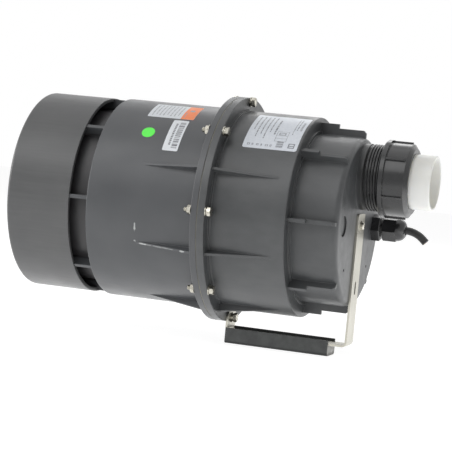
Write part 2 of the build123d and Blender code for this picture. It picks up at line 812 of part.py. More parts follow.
block_top = support_seat + block_t
with BuildPart() as terminal_block:
    with BuildSketch(across(support_seat)):
        with Locations(block_centre):
            Rectangle(block_length, block_width, rotation=block_turn)
            with PolarLocations(block_screw_share * block_length, 2, start_angle=block_turn):
                Circle(block_screw_r + fit_gap, mode=Mode.SUBTRACT)
    extrude(amount=block_t)
    with BuildSketch(across(block_top - terminal_well)):
        with Locations(block_centre):
            with PolarLocations(terminal_share * block_width, 4, start_angle=block_turn + 45):
                Circle(terminal_r)
    extrude(amount=terminal_well + 1, mode=Mode.SUBTRACT)
save(terminal_block, "terminal_block")

with BuildPart() as terminal_screws:
    with BuildSketch(across(block_top)):
        with Locations(block_centre):
            with PolarLocations(block_screw_share * block_length, 2, start_angle=block_turn):
                Circle(2 * block_screw_r)
    extrude(amount=1.8)
    with BuildSketch(across(block_top)):
        with Locations(block_centre):
            with PolarLocations(block_screw_share * block_length, 2, start_angle=block_turn):
                Circle(block_screw_r - fit_gap)
    extrude(amount=-block_t - shelf_t)
    with BuildSketch(across(block_top - terminal_well)):
        with Locations(block_centre):
            with PolarLocations(terminal_share * block_width, 4, start_angle=block_turn + 45):
                Circle(terminal_r - fit_gap)
    extrude(amount=1.6)
save(terminal_screws, "terminal_screws")

# Two wires from the block to the lower field coil, through the rear frame's window
coil_seat = pole_shoe_r + race_gap
lead_height = -(coil_seat + coil_depth / 2)
coil_back = stack_back + coil_overhang
lead_ends = (
    ((block_centre[0] - 1.5, block_centre[1] - 3.4), 9.0),
    ((block_centre[0] + 3.5, block_centre[1] + 1.0), 15.0),
)
with BuildPart() as motor_leads:
    for (start_y, start_z), end_y in lead_ends:
        with BuildLine() as lead_route:
            FilletPolyline(
                spot(support_seat, start_y, start_z), spot(support_seat - 16, start_y, start_z),
                spot(coil_back + 9, end_y, lead_height), spot(coil_back, end_y, lead_height), radius=12,
            )
        with BuildSketch(Plane(origin=lead_route.line @ 0, z_dir=lead_route.line % 0)):
            Circle(lead_r)
        sweep()
save(motor_leads, "motor_leads")

# Fan section: drawn shell, two impellers, a return channel behind each
plate_back = frame_plate + frame_plate_t
shell_inner_r = shell_r - shell_t
with BuildPart() as fan_shell:
    turned(
        (shell_front, eye_r), (shell_front, shell_r), (plate_back, shell_r), (plate_back, shell_inner_r),
        (shell_front + shell_t, shell_inner_r), (shell_front + shell_t, eye_r),
    )
    fillet(fan_shell.faces().sort_by(Axis.X)[0].outer_wire().edges(), radius=shell_t)
save(fan_shell, "fan_shell")

with BuildPart() as front_mount:
    turned(
        (bulkhead, front_mount_eye_r), (bulkhead, front_socket_r - fit_gap),
        (bulkhead + front_mount_depth, front_socket_r - fit_gap),
        (bulkhead + front_mount_depth, shell_r + fit_gap), (shell_front, shell_r + fit_gap),
        (shell_front, front_mount_eye_r),
    )
save(front_mount, "front_mount")


def at(radius, angle):
    """A point on a circle, for blade and vane ends."""
    return (radius * cos(radians(angle)), radius * sin(radians(angle)))


def curved_blades(station, height, count, inner, outer, sweep_angle, thickness):
    """Blades bowed along arcs between two radii, standing on the plate at a station."""
    with BuildSketch(across(station)) as outline:
        for angle in spread(count):
            with BuildLine():
                RadiusArc(at(inner, angle), at(outer, angle + sweep_angle), blade_curve_r)
            trace(line_width=thickness)
    extrude(outline.sketch, amount=height)


def fan_wheel(front, name):
    """One impeller: eye plate, backward-curved blades, back plate and hub."""
    back = front + impeller_plate_t + blade_height
    with BuildPart() as wheel:
        tube(front, front + impeller_plate_t, impeller_r, eye_r - 1)
        tube(back, back + impeller_plate_t, impeller_r, shaft_r + hub_bore_gap)
        curved_blades(
            front + impeller_plate_t, blade_height, blade_count, eye_r, impeller_r - 1, blade_sweep, blade_t,
        )
        tube(back - hub_r, back + 0.5, hub_r, shaft_r + hub_bore_gap)
    save(wheel, name)
    return back + impeller_plate_t


first_front = shell_front + shell_t + fan_gap
first_back = fan_wheel(first_front, "impeller_one")
channel_front = first_back + fan_gap
channel_back = channel_front + 2 * impeller_plate_t + vane_depth
second_front = channel_back + fan_gap
second_back = fan_wheel(second_front, "impeller_two")
last_channel = second_back + fan_gap

with BuildPart() as stage_diffuser:
    vane_start = channel_front + impeller_plate_t
    tube(channel_front, vane_start, diffuser_r, diffuser_hole_r)
    curved_blades(vane_start, vane_depth, vane_count, eye_r + 2, diffuser_r - 2, stage_vane_sweep, vane_t)
    tube(vane_start + vane_depth, channel_back, shell_inner_r - fit_gap, eye_r)
save(stage_diffuser, "stage_diffuser")

with BuildPart() as rear_diffuser:
    vane_start = last_channel + impeller_plate_t
    tube(last_channel, vane_start, diffuser_r, diffuser_hole_r)
    curved_blades(
        vane_start, frame_plate - vane_start, vane_count, eye_r + 14, diffuser_r - 2, rear_vane_sweep, vane_t,
    )
save(rear_diffuser, "rear_diffuser")

first_hub = first_back - impeller_plate_t - hub_r
second_hub = second_back - impeller_plate_t - hub_r
with BuildPart() as stage_spacer:
    tube(first_back, second_hub, spacer_r, shaft_r + hub_bore_gap)
save(stage_spacer, "stage_spacer")

with BuildPart() as rear_spacer:
    tube(second_back, frame_plate, spacer_r, shaft_r + hub_bore_gap)
save(rear_spacer, "rear_spacer")

with BuildPart() as fan_nut:
    with BuildSketch(across(first_hub)):
        RegularPolygon(fan_nut_flats / 2, 6, major_radius=False)
        Circle(shaft_r + hub_bore_gap, mode=Mode.SUBTRACT)
    extrude(amount=-fan_nut_t)
save(fan_nut, "fan_nut")

# Rotor: shaft, laminated core, winding, commutator and the bearings' inner races
front_core = frame_plate + bearing_t
rear_core = rear_bearing_seat
stack_middle = (stack_front + stack_back) / 2
with BuildPart() as motor_shaft:
    rod(first_hub - fan_nut_t - 1.5, front_core, shaft_r)
    rod(front_core, rear_core, shaft_core_r)
    rod(rear_core, rear_core + bearing_t - 0.5, shaft_r)
save(motor_shaft, "motor_shaft")

with BuildPart() as armature_core:
    with BuildSketch(across(stack_front)):
        Circle(armature_r)
        Circle(shaft_core_r + hub_bore_gap, mode=Mode.SUBTRACT)
        with polar(slot_circle_r, slot_count):
            Circle(slot_r, mode=Mode.SUBTRACT)
        with polar(armature_r, slot_count):
            Rectangle(armature_r - slot_circle_r, slot_mouth, mode=Mode.SUBTRACT)
    extrude(amount=stack_length)
save(armature_core, "armature_core")

with BuildPart() as armature_winding:
    with BuildSketch(across(stack_front - 1)):
        with polar(slot_circle_r, slot_count):
            Circle(slot_r - fit_gap)
    extrude(amount=stack_length + 2)
    for face, out in ((stack_front, -1), (stack_back, 1)):
        turned(
            (face, winding_inner_r), (face, winding_r), (face + out * (winding_overhang - 3), winding_r),
            (face + out * winding_overhang, winding_r - 4), (face + out * winding_overhang, winding_inner_r),
        )
save(armature_winding, "armature_winding")

with BuildPart() as commutator:
    tube(commutator_start, commutator_start + commutator_length, commutator_r, shaft_core_r + hub_bore_gap)
    tube(commutator_start, commutator_start + riser_length, riser_r, shaft_core_r + hub_bore_gap)
    with BuildSketch(across(commutator_start - 1)):
        with polar(riser_r, commutator_bars):
            Rectangle(2 * (riser_r - commutator_r + 1.2), bar_gap)
    extrude(amount=commutator_length + 2, mode=Mode.SUBTRACT)
save(commutator, "commutator")

for name, seat in (("front", frame_plate), ("rear", rear_bearing_seat)):
    with BuildPart() as race:
        tube(seat, seat + bearing_t, race_r, shaft_r + hub_bore_gap)
    save(race, f"{name}_race")
    with BuildPart() as bearing:
        tube(seat, seat + bearing_t, bearing_r, race_r + race_gap)
    save(bearing, f"{name}_bearing")

# Stator and field coils
with BuildPart() as stator_core:
    with BuildSketch(across(stack_front)):
        Circle(frame_r)
        Circle(stator_cavity_r, mode=Mode.SUBTRACT)
        Rectangle(pole_width, 2 * stator_cavity_r + 2)
        Circle(pole_shoe_r)
        for side in (1, -1):
            shoe_half_gap = radians(90 - pole_shoe_angle / 2)
            reach = side * (pole_shoe_r + 2)
            Polygon(
                (0, 0), (reach, abs(reach) * sin(shoe_half_gap)), (reach, -abs(reach) * sin(shoe_half_gap)),
                align=None, mode=Mode.SUBTRACT,
            )
        Circle(stator_bore_r, mode=Mode.SUBTRACT)
        with polar(motor_screw_circle_r, 2, 45):
            Circle(motor_screw_r + 2 * fit_gap, mode=Mode.SUBTRACT)
    extrude(amount=stack_length)
save(stator_core, "stator_core")

with BuildPart() as field_coils:
    for side in (1, -1):
        with BuildSketch(Plane.XY.offset(axis_height + side * coil_seat)):
            with Locations((seam_x + stack_middle, 0)):
                RectangleRounded(
                    stack_length + 2 * coil_overhang, pole_width + 2 * coil_t, radius=coil_t,
                )
                Rectangle(stack_length + 2 * fit_gap, pole_width + 2 * fit_gap, mode=Mode.SUBTRACT)
        extrude(amount=side * coil_depth)
save(field_coils, "field_coils")


def windows(start, end):
    """Four cooling windows cut on the diagonals of a motor frame."""
    half = window_angle / 2
    with BuildSketch(across(start)) as outline:
        for angle in spread(4, 45):
            Polygon(
                at(frame_hub_r + 4, angle - half), at(frame_r + 12, angle - half),
                at(frame_r + 12, angle + half), at(frame_hub_r + 4, angle + half), align=None,
            )
    extrude(outline.sketch, amount=end - start, mode=Mode.SUBTRACT)


bearing_seat_r = bearing_r + fit_gap
frame_inner_r = frame_r - frame_wall
with BuildPart() as front_frame:
    turned(
        (frame_plate, bearing_seat_r), (frame_plate, shell_inner_r - fit_gap),
        (plate_back, shell_inner_r - fit_gap), (plate_back, frame_r), (stack_front, frame_r),
        (stack_front, stator_cavity_r), (stack_front - frame_ring_t, stator_cavity_r),
        (stack_front - frame_ring_t, frame_inner_r), (plate_back, frame_inner_r), (plate_back, frame_hub_r),
        (front_core + 3, frame_hub_r), (front_core + 3, race_r + 2), (front_core, race_r + 2),
        (front_core, bearing_seat_r),
    )
    windows(plate_back, stack_front - frame_ring_t)
    with BuildSketch(across(frame_plate)):
        with polar(plate_hole_share * frame_r, 8, gusset_first):
            Circle(plate_hole_r)
    extrude(amount=frame_plate_t, mode=Mode.SUBTRACT)
    with BuildSketch(across(frame_plate)):
        with polar(motor_screw_circle_r, 2, 45):
            Circle(motor_screw_edge)
    extrude(amount=stack_front - frame_plate)
    with BuildSketch(across(frame_plate + 4)):
        with polar(motor_screw_circle_r, 2, 45):
            Circle(motor_screw_r + fit_gap)
    extrude(amount=stack_front - frame_plate, mode=Mode.SUBTRACT)
save(front_frame, "front_frame")

brush_plane = Plane(origin=spot(commutator_middle, 0, 0), x_dir=(1, 0, 0), z_dir=(0, 1, 0))
disc_back = rear_frame_disc + 4.0
with BuildPart() as rear_frame:
    turned(
        (stack_back, stator_cavity_r), (stack_back, frame_r), (disc_back, frame_r), (disc_back, frame_hub_r),
        (hub_end, frame_hub_r), (hub_end, 0), (rear_bearing_seat + bearing_t, 0),
        (rear_bearing_seat + bearing_t, bearing_seat_r), (rear_frame_disc, bearing_seat_r),
        (rear_frame_disc, frame_inner_r), (stack_back + frame_ring_t, frame_inner_r),
        (stack_back + frame_ring_t, stator_cavity_r),
    )
    windows(stack_back + frame_ring_t, disc_back)
    with BuildSketch(brush_plane):
        Rectangle(
            brush_length + 2 * (holder_wall + fit_gap) + 0.2, brush_width + 2 * (holder_wall + fit_gap) + 0.2,
        )
    extrude(amount=frame_r + 1, both=True, mode=Mode.SUBTRACT)
    with BuildSketch(across(stack_back)):
        with polar(motor_screw_circle_r, 2, 45):
            Circle(motor_screw_r + fit_gap)
    extrude(amount=frame_ring_t, mode=Mode.SUBTRACT)
save(rear_frame, "rear_frame")

screw_seat = stack_back + frame_ring_t
with BuildPart() as motor_screws:
    with BuildSketch(across(screw_seat)):
        with polar(motor_screw_circle_r, 2, 45):
            Circle(motor_screw_head_r)
    extrude(amount=2.8)
    with BuildSketch(across(screw_seat)):
        with polar(motor_screw_circle_r, 2, 45):
            Circle(motor_screw_r)
    extrude(amount=-(frame_ring_t + stack_length + 14))
save(motor_screws, "motor_screws")

# Brush gear: boxes through the rear frame's side arms, with carbon brushes and their springs
brush_tip = commutator_r + brush_gap
brush_back = brush_tip + brush_height
with BuildPart() as brush_holders:
    for side in (1, -1):
        with BuildSketch(brush_plane.offset(side * (brush_tip + holder_tip_gap))):
            Rectangle(brush_length + 2 * holder_wall, brush_width + 2 * holder_wall)
        extrude(amount=side * (holder_end - brush_tip - holder_tip_gap))
        with BuildSketch(brush_plane.offset(side * (brush_tip + holder_tip_gap))):
            Rectangle(brush_length + 2 * fit_gap, brush_width + 2 * fit_gap)
        extrude(amount=side * (holder_end - brush_tip - holder_tip_gap - holder_wall), mode=Mode.SUBTRACT)
save(brush_holders, "brush_holders")

with BuildPart() as carbon_brushes:
    for side in (1, -1):
        with BuildSketch(brush_plane.offset(side * brush_tip)):
            Rectangle(brush_length, brush_width)
        extrude(amount=side * brush_height)
save(carbon_brushes, "carbon_brushes")

spring_length = holder_end - holder_wall - brush_back
with BuildPart() as brush_springs:
    for side in (1, -1):
        spring_base = brush_plane.offset(side * (brush_back + spring_wire_r + 0.1))
        turn_height = spring_length - 2 * spring_wire_r - 0.2
        spring_frame = Plane(origin=spring_base.origin, x_dir=(1, 0, 0), z_dir=(0, side, 0))
        coil = spring_frame.from_local_coords(
            Helix(pitch=turn_height / spring_turns, height=turn_height, radius=spring_r)
        )
        with BuildSketch(Plane(origin=coil @ 0, z_dir=coil % 0)):
            RegularPolygon(spring_wire_r, 6)
        sweep(path=coil, is_frenet=True)
save(brush_springs, "brush_springs")
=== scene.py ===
# Cylindrical air blower: finishes, fasteners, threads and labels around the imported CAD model
from math import atan2, cos, pi, radians, sin, tan, tau

import bmesh
import bpy
from bmesh.types import BMEdge, BMVert
from mathutils import Matrix, Vector


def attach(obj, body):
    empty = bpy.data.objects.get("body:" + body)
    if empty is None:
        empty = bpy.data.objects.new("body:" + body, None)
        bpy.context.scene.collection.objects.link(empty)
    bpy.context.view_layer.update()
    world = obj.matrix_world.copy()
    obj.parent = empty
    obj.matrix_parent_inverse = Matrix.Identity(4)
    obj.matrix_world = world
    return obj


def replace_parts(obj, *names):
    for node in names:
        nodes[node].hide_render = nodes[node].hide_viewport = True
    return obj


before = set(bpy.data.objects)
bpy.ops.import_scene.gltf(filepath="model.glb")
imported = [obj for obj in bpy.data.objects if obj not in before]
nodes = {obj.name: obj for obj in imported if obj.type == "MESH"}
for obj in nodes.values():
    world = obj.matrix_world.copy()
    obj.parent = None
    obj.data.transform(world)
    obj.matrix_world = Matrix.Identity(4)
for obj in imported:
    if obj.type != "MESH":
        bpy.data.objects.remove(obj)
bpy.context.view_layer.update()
print("frame loaded:", len(nodes), "nodes")

# Lengths are in metres. A station is the distance along the blower's axis from the flange seam,
# and neckRise is the height of the outlet's axis above it.
mm = 0.001
blower = {"seam": -0.060, "axis": 0.1305, "bodyRadius": 0.098, "outletRadius": 0.0971, "neckRise": 0.0446}


# Matrix from a piece drawn along +X to its place on an axis beside the blower's own.
def alongAxis(station, y=0.0, z=0.0):
    return Matrix.Translation((blower["seam"] + station, y, blower["axis"] + z))


def linked(name, data):
    made = bpy.data.objects.new(name, data)
    bpy.context.scene.collection.objects.link(made)
    return made


def newFinish(name, colour, roughness, metallic=0.0):
    finish = bpy.data.materials.new(name)
    finish.use_nodes = True
    shader = finish.node_tree.nodes["Principled BSDF"]
    shader.inputs["Base Color"].default_value = (*colour, 1)
    shader.inputs["Roughness"].default_value = roughness
    shader.inputs["Metallic"].default_value = metallic
    finish.diffuse_color = (*colour, 1)
    return finish, finish.node_tree, shader


def objectPoint(tree, stretch=(1, 1, 1), shift=(0, 0, 0)):
    place = tree.nodes.new("ShaderNodeTexCoord")
    mapping = tree.nodes.new("ShaderNodeMapping")
    mapping.inputs["Location"].default_value = shift
    mapping.inputs["Scale"].default_value = stretch
    tree.links.new(place.outputs["Object"], mapping.inputs["Vector"])
    return mapping.outputs["Vector"]


def noiseField(tree, scale, detail, stretch=(1, 1, 1)):
    field = tree.nodes.new("ShaderNodeTexNoise")
    field.inputs["Scale"].default_value = scale
    field.inputs["Detail"].default_value = detail
    tree.links.new(objectPoint(tree, stretch), field.inputs["Vector"])
    return field.outputs["Fac"]


def cellField(tree, scale):
    field = tree.nodes.new("ShaderNodeTexVoronoi")
    field.inputs["Scale"].default_value = scale
    tree.links.new(objectPoint(tree), field.inputs["Vector"])
    return field.outputs["Distance"]


def spread(tree, value, fromLow, fromHigh, toLow, toHigh):
    span = tree.nodes.new("ShaderNodeMapRange")
    span.inputs["From Min"].default_value = fromLow
    span.inputs["From Max"].default_value = fromHigh
    span.inputs["To Min"].default_value = toLow
    span.inputs["To Max"].default_value = toHigh
    tree.links.new(value, span.inputs["Value"])
    return span.outputs["Result"]


# Noise as cloudy patches that run from 0 to 1.
def patches(tree, scale, detail, low, high):
    return spread(tree, noiseField(tree, scale, detail), low, high, 0, 1)


def blendColour(tree, share, first, second):
    mix = tree.nodes.new("ShaderNodeMix")
    mix.data_type = "RGBA"
    tree.links.new(share, mix.inputs["Factor"])
    for socket, value in ((mix.inputs["A"], first), (mix.inputs["B"], second)):
        if isinstance(value, tuple):
            socket.default_value = (*value, 1)
        else:
            tree.links.new(value, socket)
    return mix.outputs["Result"]


def combined(tree, operation, first, second):
    step = tree.nodes.new("ShaderNodeMath")
    step.operation = operation
    tree.links.new(first, step.inputs[0])
    tree.links.new(second, step.inputs[1])
    return step.outputs["Value"]


def times(tree, first, second):
    return combined(tree, "MULTIPLY", first, second)


# How far a point is past one station on an object axis, from 0 to 1.
def pastPlace(tree, axis, low, high):
    place = tree.nodes.new("ShaderNodeTexCoord")
    split = tree.nodes.new("ShaderNodeSeparateXYZ")
    tree.links.new(place.outputs["Object"], split.inputs["Vector"])
    return spread(tree, split.outputs[axis], low, high, 0, 1)


# 1 outside a radius about a line along X, 0 inside it.
def pastRadius(tree, y, z, low, high):
    away = tree.nodes.new("ShaderNodeVectorMath")
    away.operation = "LENGTH"
    tree.links.new(objectPoint(tree, (0, 1, 1), (0, -y, -z)), away.inputs[0])
    return spread(tree, away.outputs["Value"], low, high, 0, 1)


# A soft egg-shaped mark: 1 at its middle, 0 at its reach along each of its own axes.
def markAt(tree, mark):
    radius, angle = mark["radius"], radians(mark["angle"])
    place = tree.nodes.new("ShaderNodeTexCoord")
    mapping = tree.nodes.new("ShaderNodeMapping")
    mapping.vector_type = "TEXTURE"
    mapping.inputs["Location"].default_value = (
        blower["seam"] + mark["station"], radius * cos(angle), blower["axis"] + radius * sin(angle))
    turned = Matrix.Rotation(angle, 3, "X") @ Matrix.Rotation(radians(mark["slope"]), 3, "Z")
    mapping.inputs["Rotation"].default_value = turned.to_euler("XYZ")
    mapping.inputs["Scale"].default_value = mark["reach"]
    falloff = tree.nodes.new("ShaderNodeTexGradient")
    falloff.gradient_type = "SPHERICAL"
    tree.links.new(place.outputs["Object"], mapping.inputs["Vector"])
    tree.links.new(mapping.outputs["Vector"], falloff.inputs["Vector"])
    return falloff.outputs["Fac"]


# The normal with its edges rounded off, and a mask that is 1 along those edges.
def softEdges(tree, radius):
    rounded = tree.nodes.new("ShaderNodeBevel")
    rounded.samples = 4
    rounded.inputs["Radius"].default_value = radius
    surface = tree.nodes.new("ShaderNodeNewGeometry")
    facing = tree.nodes.new("ShaderNodeVectorMath")
    facing.operation = "DOT_PRODUCT"
    tree.links.new(rounded.outputs["Normal"], facing.inputs[0])
    tree.links.new(surface.outputs["Normal"], facing.inputs[1])
    return rounded.outputs["Normal"], spread(tree, facing.outputs["Value"], 0.82, 0.99, 1, 0)


# Let the roughness wander between two values with a noise field.
def roughen(tree, shader, field, low, high):
    tree.links.new(spread(tree, field, 0.3, 0.7, low, high), shader.inputs["Roughness"])


def relief(tree, shader, height, depth, strength=1.0, normal=None):
    bump = tree.nodes.new("ShaderNodeBump")
    bump.inputs["Strength"].default_value = strength
    bump.inputs["Distance"].default_value = depth
    tree.links.new(height, bump.inputs["Height"])
    if normal is not None:
        tree.links.new(normal, bump.inputs["Normal"])
    tree.links.new(bump.outputs["Normal"], shader.inputs["Normal"])


# Matte moulding: fine spark grain, cloudy tone, pale rubbed edges and a few long scuffs, with optional
# painted shade in a recess or on a pocket wall.
def mouldedPlastic(name, look):
    finish, tree, shader = newFinish(name, look["colour"], look["roughness"])
    edgeNormal, edge = softEdges(tree, look["edge"])
    cloud = patches(tree, look["cloudScale"], 5, 0.3, 0.7)
    tone = blendColour(tree, cloud, look["colour"], look["cloudColour"])
    scuff = spread(tree, noiseField(tree, look["scuffScale"], 7, (0.35, 1, 1)), 0.66, 0.78, 0, look["scuffs"])
    tone = blendColour(tree, scuff, tone, look["wornColour"])
    rub = times(tree, edge, spread(tree, noiseField(tree, look["rubScale"], 4), 0.35, 0.7, 0.1, look["wear"]))
    tone = blendColour(tree, rub, tone, look["wornColour"])
    streaks = noiseField(tree, 1.0, 4, look["streaks"])
    tone = blendColour(tree, spread(tree, streaks, 0.35, 0.75, 0, look["streaky"]), tone, look["wornColour"])
    for mark in look.get("marks", ()):
        breaks = spread(tree, noiseField(tree, look["breakScale"], 5, (0.5, 1, 1)), 0.3, 0.7, 0.3, 1.4)
        flecks = times(tree, markAt(tree, mark), breaks)
        tone = blendColour(tree, spread(tree, flecks, 0.3, 0.5, 0, mark["strength"]), tone, mark["colour"])
    # Painted shade: the tube inside the recess radius, under the intake cover, is coloured darker where shade
    # falls.
    if "recess" in look:
        inside = pastRadius(tree, 0, blower["axis"], look["recess"] + 0.4 * mm,
                            look["recess"] + 0.1 * mm)
        inside = times(tree, inside, pastPlace(tree, "X", look["recessEnd"], look["recessEnd"] - 0.3 * mm))
        tone = blendColour(tree, inside, tone, look["recessShadeColour"])
    if "neckStart" in look:
        tone = blendColour(tree, pastPlace(tree, "X", look["neckStart"], look["neckStart"] + 2 * mm), tone,
                           look["neckToneAndPocketShade"])
    # Painted shade: the knockout pocket's wall is coloured dark, in the same colour as the darker neck.
    if "pocket" in look:
        y, z, radius, depth = look["pocket"]
        pocketShade = times(tree, pastRadius(tree, y, z, radius - 0.4 * mm, radius - 0.2 * mm),
                     pastPlace(tree, "X", depth + 0.1 * mm, depth))
        pocketShade = times(tree, pocketShade, pastRadius(tree, y, z, radius + 0.3 * mm, radius + 0.1 * mm))
        tone = blendColour(tree, pocketShade, tone, look["neckToneAndPocketShade"])
    tree.links.new(tone, shader.inputs["Base Color"])
    haze = spread(tree, noiseField(tree, look["hazeScale"], 6, (0.5, 1, 1)), 0.3, 0.7,
                  look["roughness"] - 0.05, look["roughness"] + 0.06)
    tree.links.new(times(tree, haze, spread(tree, streaks, 0.3, 0.7, 0.86, 1.12)), shader.inputs["Roughness"])
    relief(tree, shader, noiseField(tree, look["grain"], 2), look["grainDepth"], 0.5, edgeNormal)
    return finish


# Black moulding with a soft gloss, faint flow lines and handling haze.
def glossMoulding(name, look):
    finish, tree, shader = newFinish(name, look["colour"], look["roughness"])
    edgeNormal, edge = softEdges(tree, look["edge"])
    haze = patches(tree, 90, 5, 0.35, 0.75)
    tone = blendColour(tree, haze, look["colour"], look["hazeColour"])
    tone = blendColour(tree, times(tree, edge, haze), tone, look["wornColour"])
    tree.links.new(tone, shader.inputs["Base Color"])
    roughen(tree, shader, noiseField(tree, 60, 6), look["roughness"] - 0.05, look["roughness"] + 0.1)
    relief(tree, shader, noiseField(tree, 260, 3, (2.5, 1, 1)), 0.04 * mm, 0.35, edgeNormal)
    return finish


# Off-white pipe fitting: a little light goes into it, and it yellows in patches.
def pipePlastic(name, look):
    finish, tree, shader = newFinish(name, look["colour"], 0.42)
    shader.inputs["Subsurface Weight"].default_value = 0.45
    shader.inputs["Subsurface Radius"].default_value = (0.012, 0.011, 0.009)
    shader.inputs["Subsurface Scale"].default_value = 1.0
    edgeNormal = softEdges(tree, look["edge"])[0]
    tone = blendColour(tree, patches(tree, 40, 4, 0.35, 0.75), look["colour"], look["agedColour"])
    outside = pastRadius(tree, 0, blower["axis"] + blower["neckRise"], look["bore"], look["bore"] + 0.4 * mm)
    tone = blendColour(tree, outside, look["boreColour"], tone)
    tree.links.new(tone, shader.inputs["Base Color"])
    roughen(tree, shader, noiseField(tree, 120, 4), 0.36, 0.5)
    relief(tree, shader, noiseField(tree, 700, 2, (3, 1, 1)), 0.03 * mm, 0.4, edgeNormal)
    return finish


# Rubber with a mould skin: blotchy grey bloom, soft roughness and small pits; a cut end face can be given
# painted light.
def rubber(name, look):
    finish, tree, shader = newFinish(name, look["colour"], look["roughness"])
    edgeNormal, edge = softEdges(tree, 0.5 * mm)
    bloom = patches(tree, look["bloomScale"], 8, 0.36, 0.68)
    tone = blendColour(tree, bloom, look["colour"], look["bloomColour"])
    tone = blendColour(tree, times(tree, edge, bloom), tone, look["bloomColour"])
    # Painted light: the end face past the cut end is coloured light grey, broken by noise, where light falls
    # on it.
    if "cutEnd" in look:
        endFaceLight = times(tree, pastPlace(tree, "X", look["cutEnd"] - 0.2 * mm, look["cutEnd"] - 0.1 * mm),
                     spread(tree, noiseField(tree, 300, 6), 0.3, 0.7, 0.6, 1))
        tone = blendColour(tree, endFaceLight, tone, look["endFaceLightColour"])
    tree.links.new(tone, shader.inputs["Base Color"])
    tree.links.new(spread(tree, bloom, 0, 1, look["roughness"] - 0.08, look["roughness"] + 0.1),
                   shader.inputs["Roughness"])
    relief(tree, shader, noiseField(tree, 1500, 3), 0.08 * mm, 0.5, edgeNormal)
    return finish


# Sheet steel drawn along its length: hair lines, smears and a bright cut edge.
def brushedSteel(name, look):
    finish, tree, shader = newFinish(name, look["colour"], look["roughness"], 1.0)
    edgeNormal, edge = softEdges(tree, 0.3 * mm)
    lines = noiseField(tree, 1.0, 2, look["hairline"])
    tone = blendColour(tree, patches(tree, 35, 5, 0.3, 0.7), look["colour"], look["smearColour"])
    tone = blendColour(tree, edge, tone, look["edgeColour"])
    tree.links.new(tone, shader.inputs["Base Color"])
    roughen(tree, shader, lines, look["roughness"] - 0.08, look["roughness"] + 0.12)
    relief(tree, shader, lines, 0.02 * mm, 0.5, edgeNormal)
    return finish


# Small bright metal part: plating with fine pits and a slight change of tone.
def platedMetal(name, look):
    finish, tree, shader = newFinish(name, look["colour"], look["roughness"], 1.0)
    edgeNormal = softEdges(tree, 0.2 * mm)[0]
    stain = patches(tree, look["stainScale"], 5, 0.35, 0.7)
    tone = blendColour(tree, stain, look["colour"], look["stainColour"])
    tree.links.new(tone, shader.inputs["Base Color"])
    tree.links.new(spread(tree, stain, 0, 1, look["roughness"] - 0.05, look["roughness"] + 0.12),
                   shader.inputs["Roughness"])
    relief(tree, shader, noiseField(tree, look["grain"], 3), look["grainDepth"], 0.5, edgeNormal)
    return finish


# Laminations: half-millimetre bands along the axis with a blued tint.
def stackedSteel(name):
    finish, tree, shader = newFinish(name, (0.2, 0.2, 0.22), 0.42, 0.9)
    bands = noiseField(tree, 1.0, 0, (1900, 4, 4))
    tone = blendColour(tree, spread(tree, bands, 0.35, 0.65, 0, 1), (0.12, 0.12, 0.14), (0.34, 0.33, 0.33))
    tree.links.new(tone, shader.inputs["Base Color"])
    relief(tree, shader, bands, 0.12 * mm, 0.6)
    return finish


# Enamelled wire: turns seen as fine rounded lines with a varnish gloss.
def woundCopper(name):
    finish, tree, shader = newFinish(name, (0.45, 0.14, 0.045), 0.28, 0.8)
    shader.inputs["Coat Weight"].default_value = 0.6
    shader.inputs["Coat Roughness"].default_value = 0.15
    turns = noiseField(tree, 1.0, 1, (60, 1500, 1500))
    tone = blendColour(tree, spread(tree, turns, 0.3, 0.7, 0, 1), (0.2, 0.05, 0.015), (0.6, 0.22, 0.08))
    tree.links.new(tone, shader.inputs["Base Color"])
    relief(tree, shader, turns, 0.2 * mm, 0.8)
    return finish


# Open-cell foam: pores a millimetre across with pale struts.
def openFoam(name):
    finish, tree, shader = newFinish(name, (0.03, 0.03, 0.032), 0.95)
    pores = spread(tree, cellField(tree, 900), 0.1, 0.6, 0, 1)
    tone = blendColour(tree, pores, (0.012, 0.012, 0.013), (0.06, 0.06, 0.063))
    tree.links.new(tone, shader.inputs["Base Color"])
    relief(tree, shader, pores, 0.6 * mm)
    return finish


# Label stock: smooth film with a faint fleck and scuffed print.
def printedFilm(name, look):
    finish, tree, shader = newFinish(name, look["colour"], look["roughness"], look.get("metallic", 0.0))
    tone = blendColour(tree, patches(tree, 420, 5, 0.35, 0.75), look["colour"], look["fleckColour"])
    tree.links.new(tone, shader.inputs["Base Color"])
    roughen(tree, shader, noiseField(tree, 150, 4), look["roughness"] - 0.05, look["roughness"] + 0.08)
    relief(tree, shader, noiseField(tree, 180, 2), 0.05 * mm, 0.3)
    return finish


charcoal = {
    "colour": (0.056, 0.059, 0.064), "cloudColour": (0.069, 0.072, 0.077), "wornColour": (0.24, 0.245, 0.245),
    "roughness": 0.4, "edge": 0.8 * mm, "scuffs": 0.1, "wear": 0.4, "grain": 2600, "grainDepth": 0.06 * mm,
    "cloudScale": 22, "scuffScale": 34, "rubScale": 70, "hazeScale": 48, "breakScale": 420,
    "streaks": (30, 30, 30), "streaky": 0.02,
}
# Pale rub marks on and beside one gusset; an angle is measured round the axis from +Y.
rubMark = {"angle": 202.5, "slope": 8.2, "colour": (0.62, 0.64, 0.63)}
casingMarks = [
    {**rubMark, "station": -37.5 * mm, "radius": 102.3 * mm, "strength": 0.27,
     "reach": (31 * mm, 2 * mm, 1.1 * mm)},
    {**rubMark, "station": -57.5 * mm, "radius": 99.5 * mm, "strength": 0.66,
     "reach": (6 * mm, 2 * mm, 1.5 * mm)},
    {**rubMark, "station": -15.5 * mm, "radius": 105.3 * mm, "strength": 0.62,
     "reach": (4.5 * mm, 2 * mm, 1.7 * mm)},
    {**rubMark, "station": -65.5 * mm, "radius": 98.2 * mm, "strength": 0.62,
     "reach": (1.5 * mm, 3 * mm, 7 * mm), "angle": 193.5, "slope": 0},
    {**rubMark, "station": -65.5 * mm, "radius": 98.4 * mm, "strength": 0.6,
     "reach": (2.4 * mm, 3 * mm, 1.8 * mm), "angle": 201.5, "slope": 0},
]
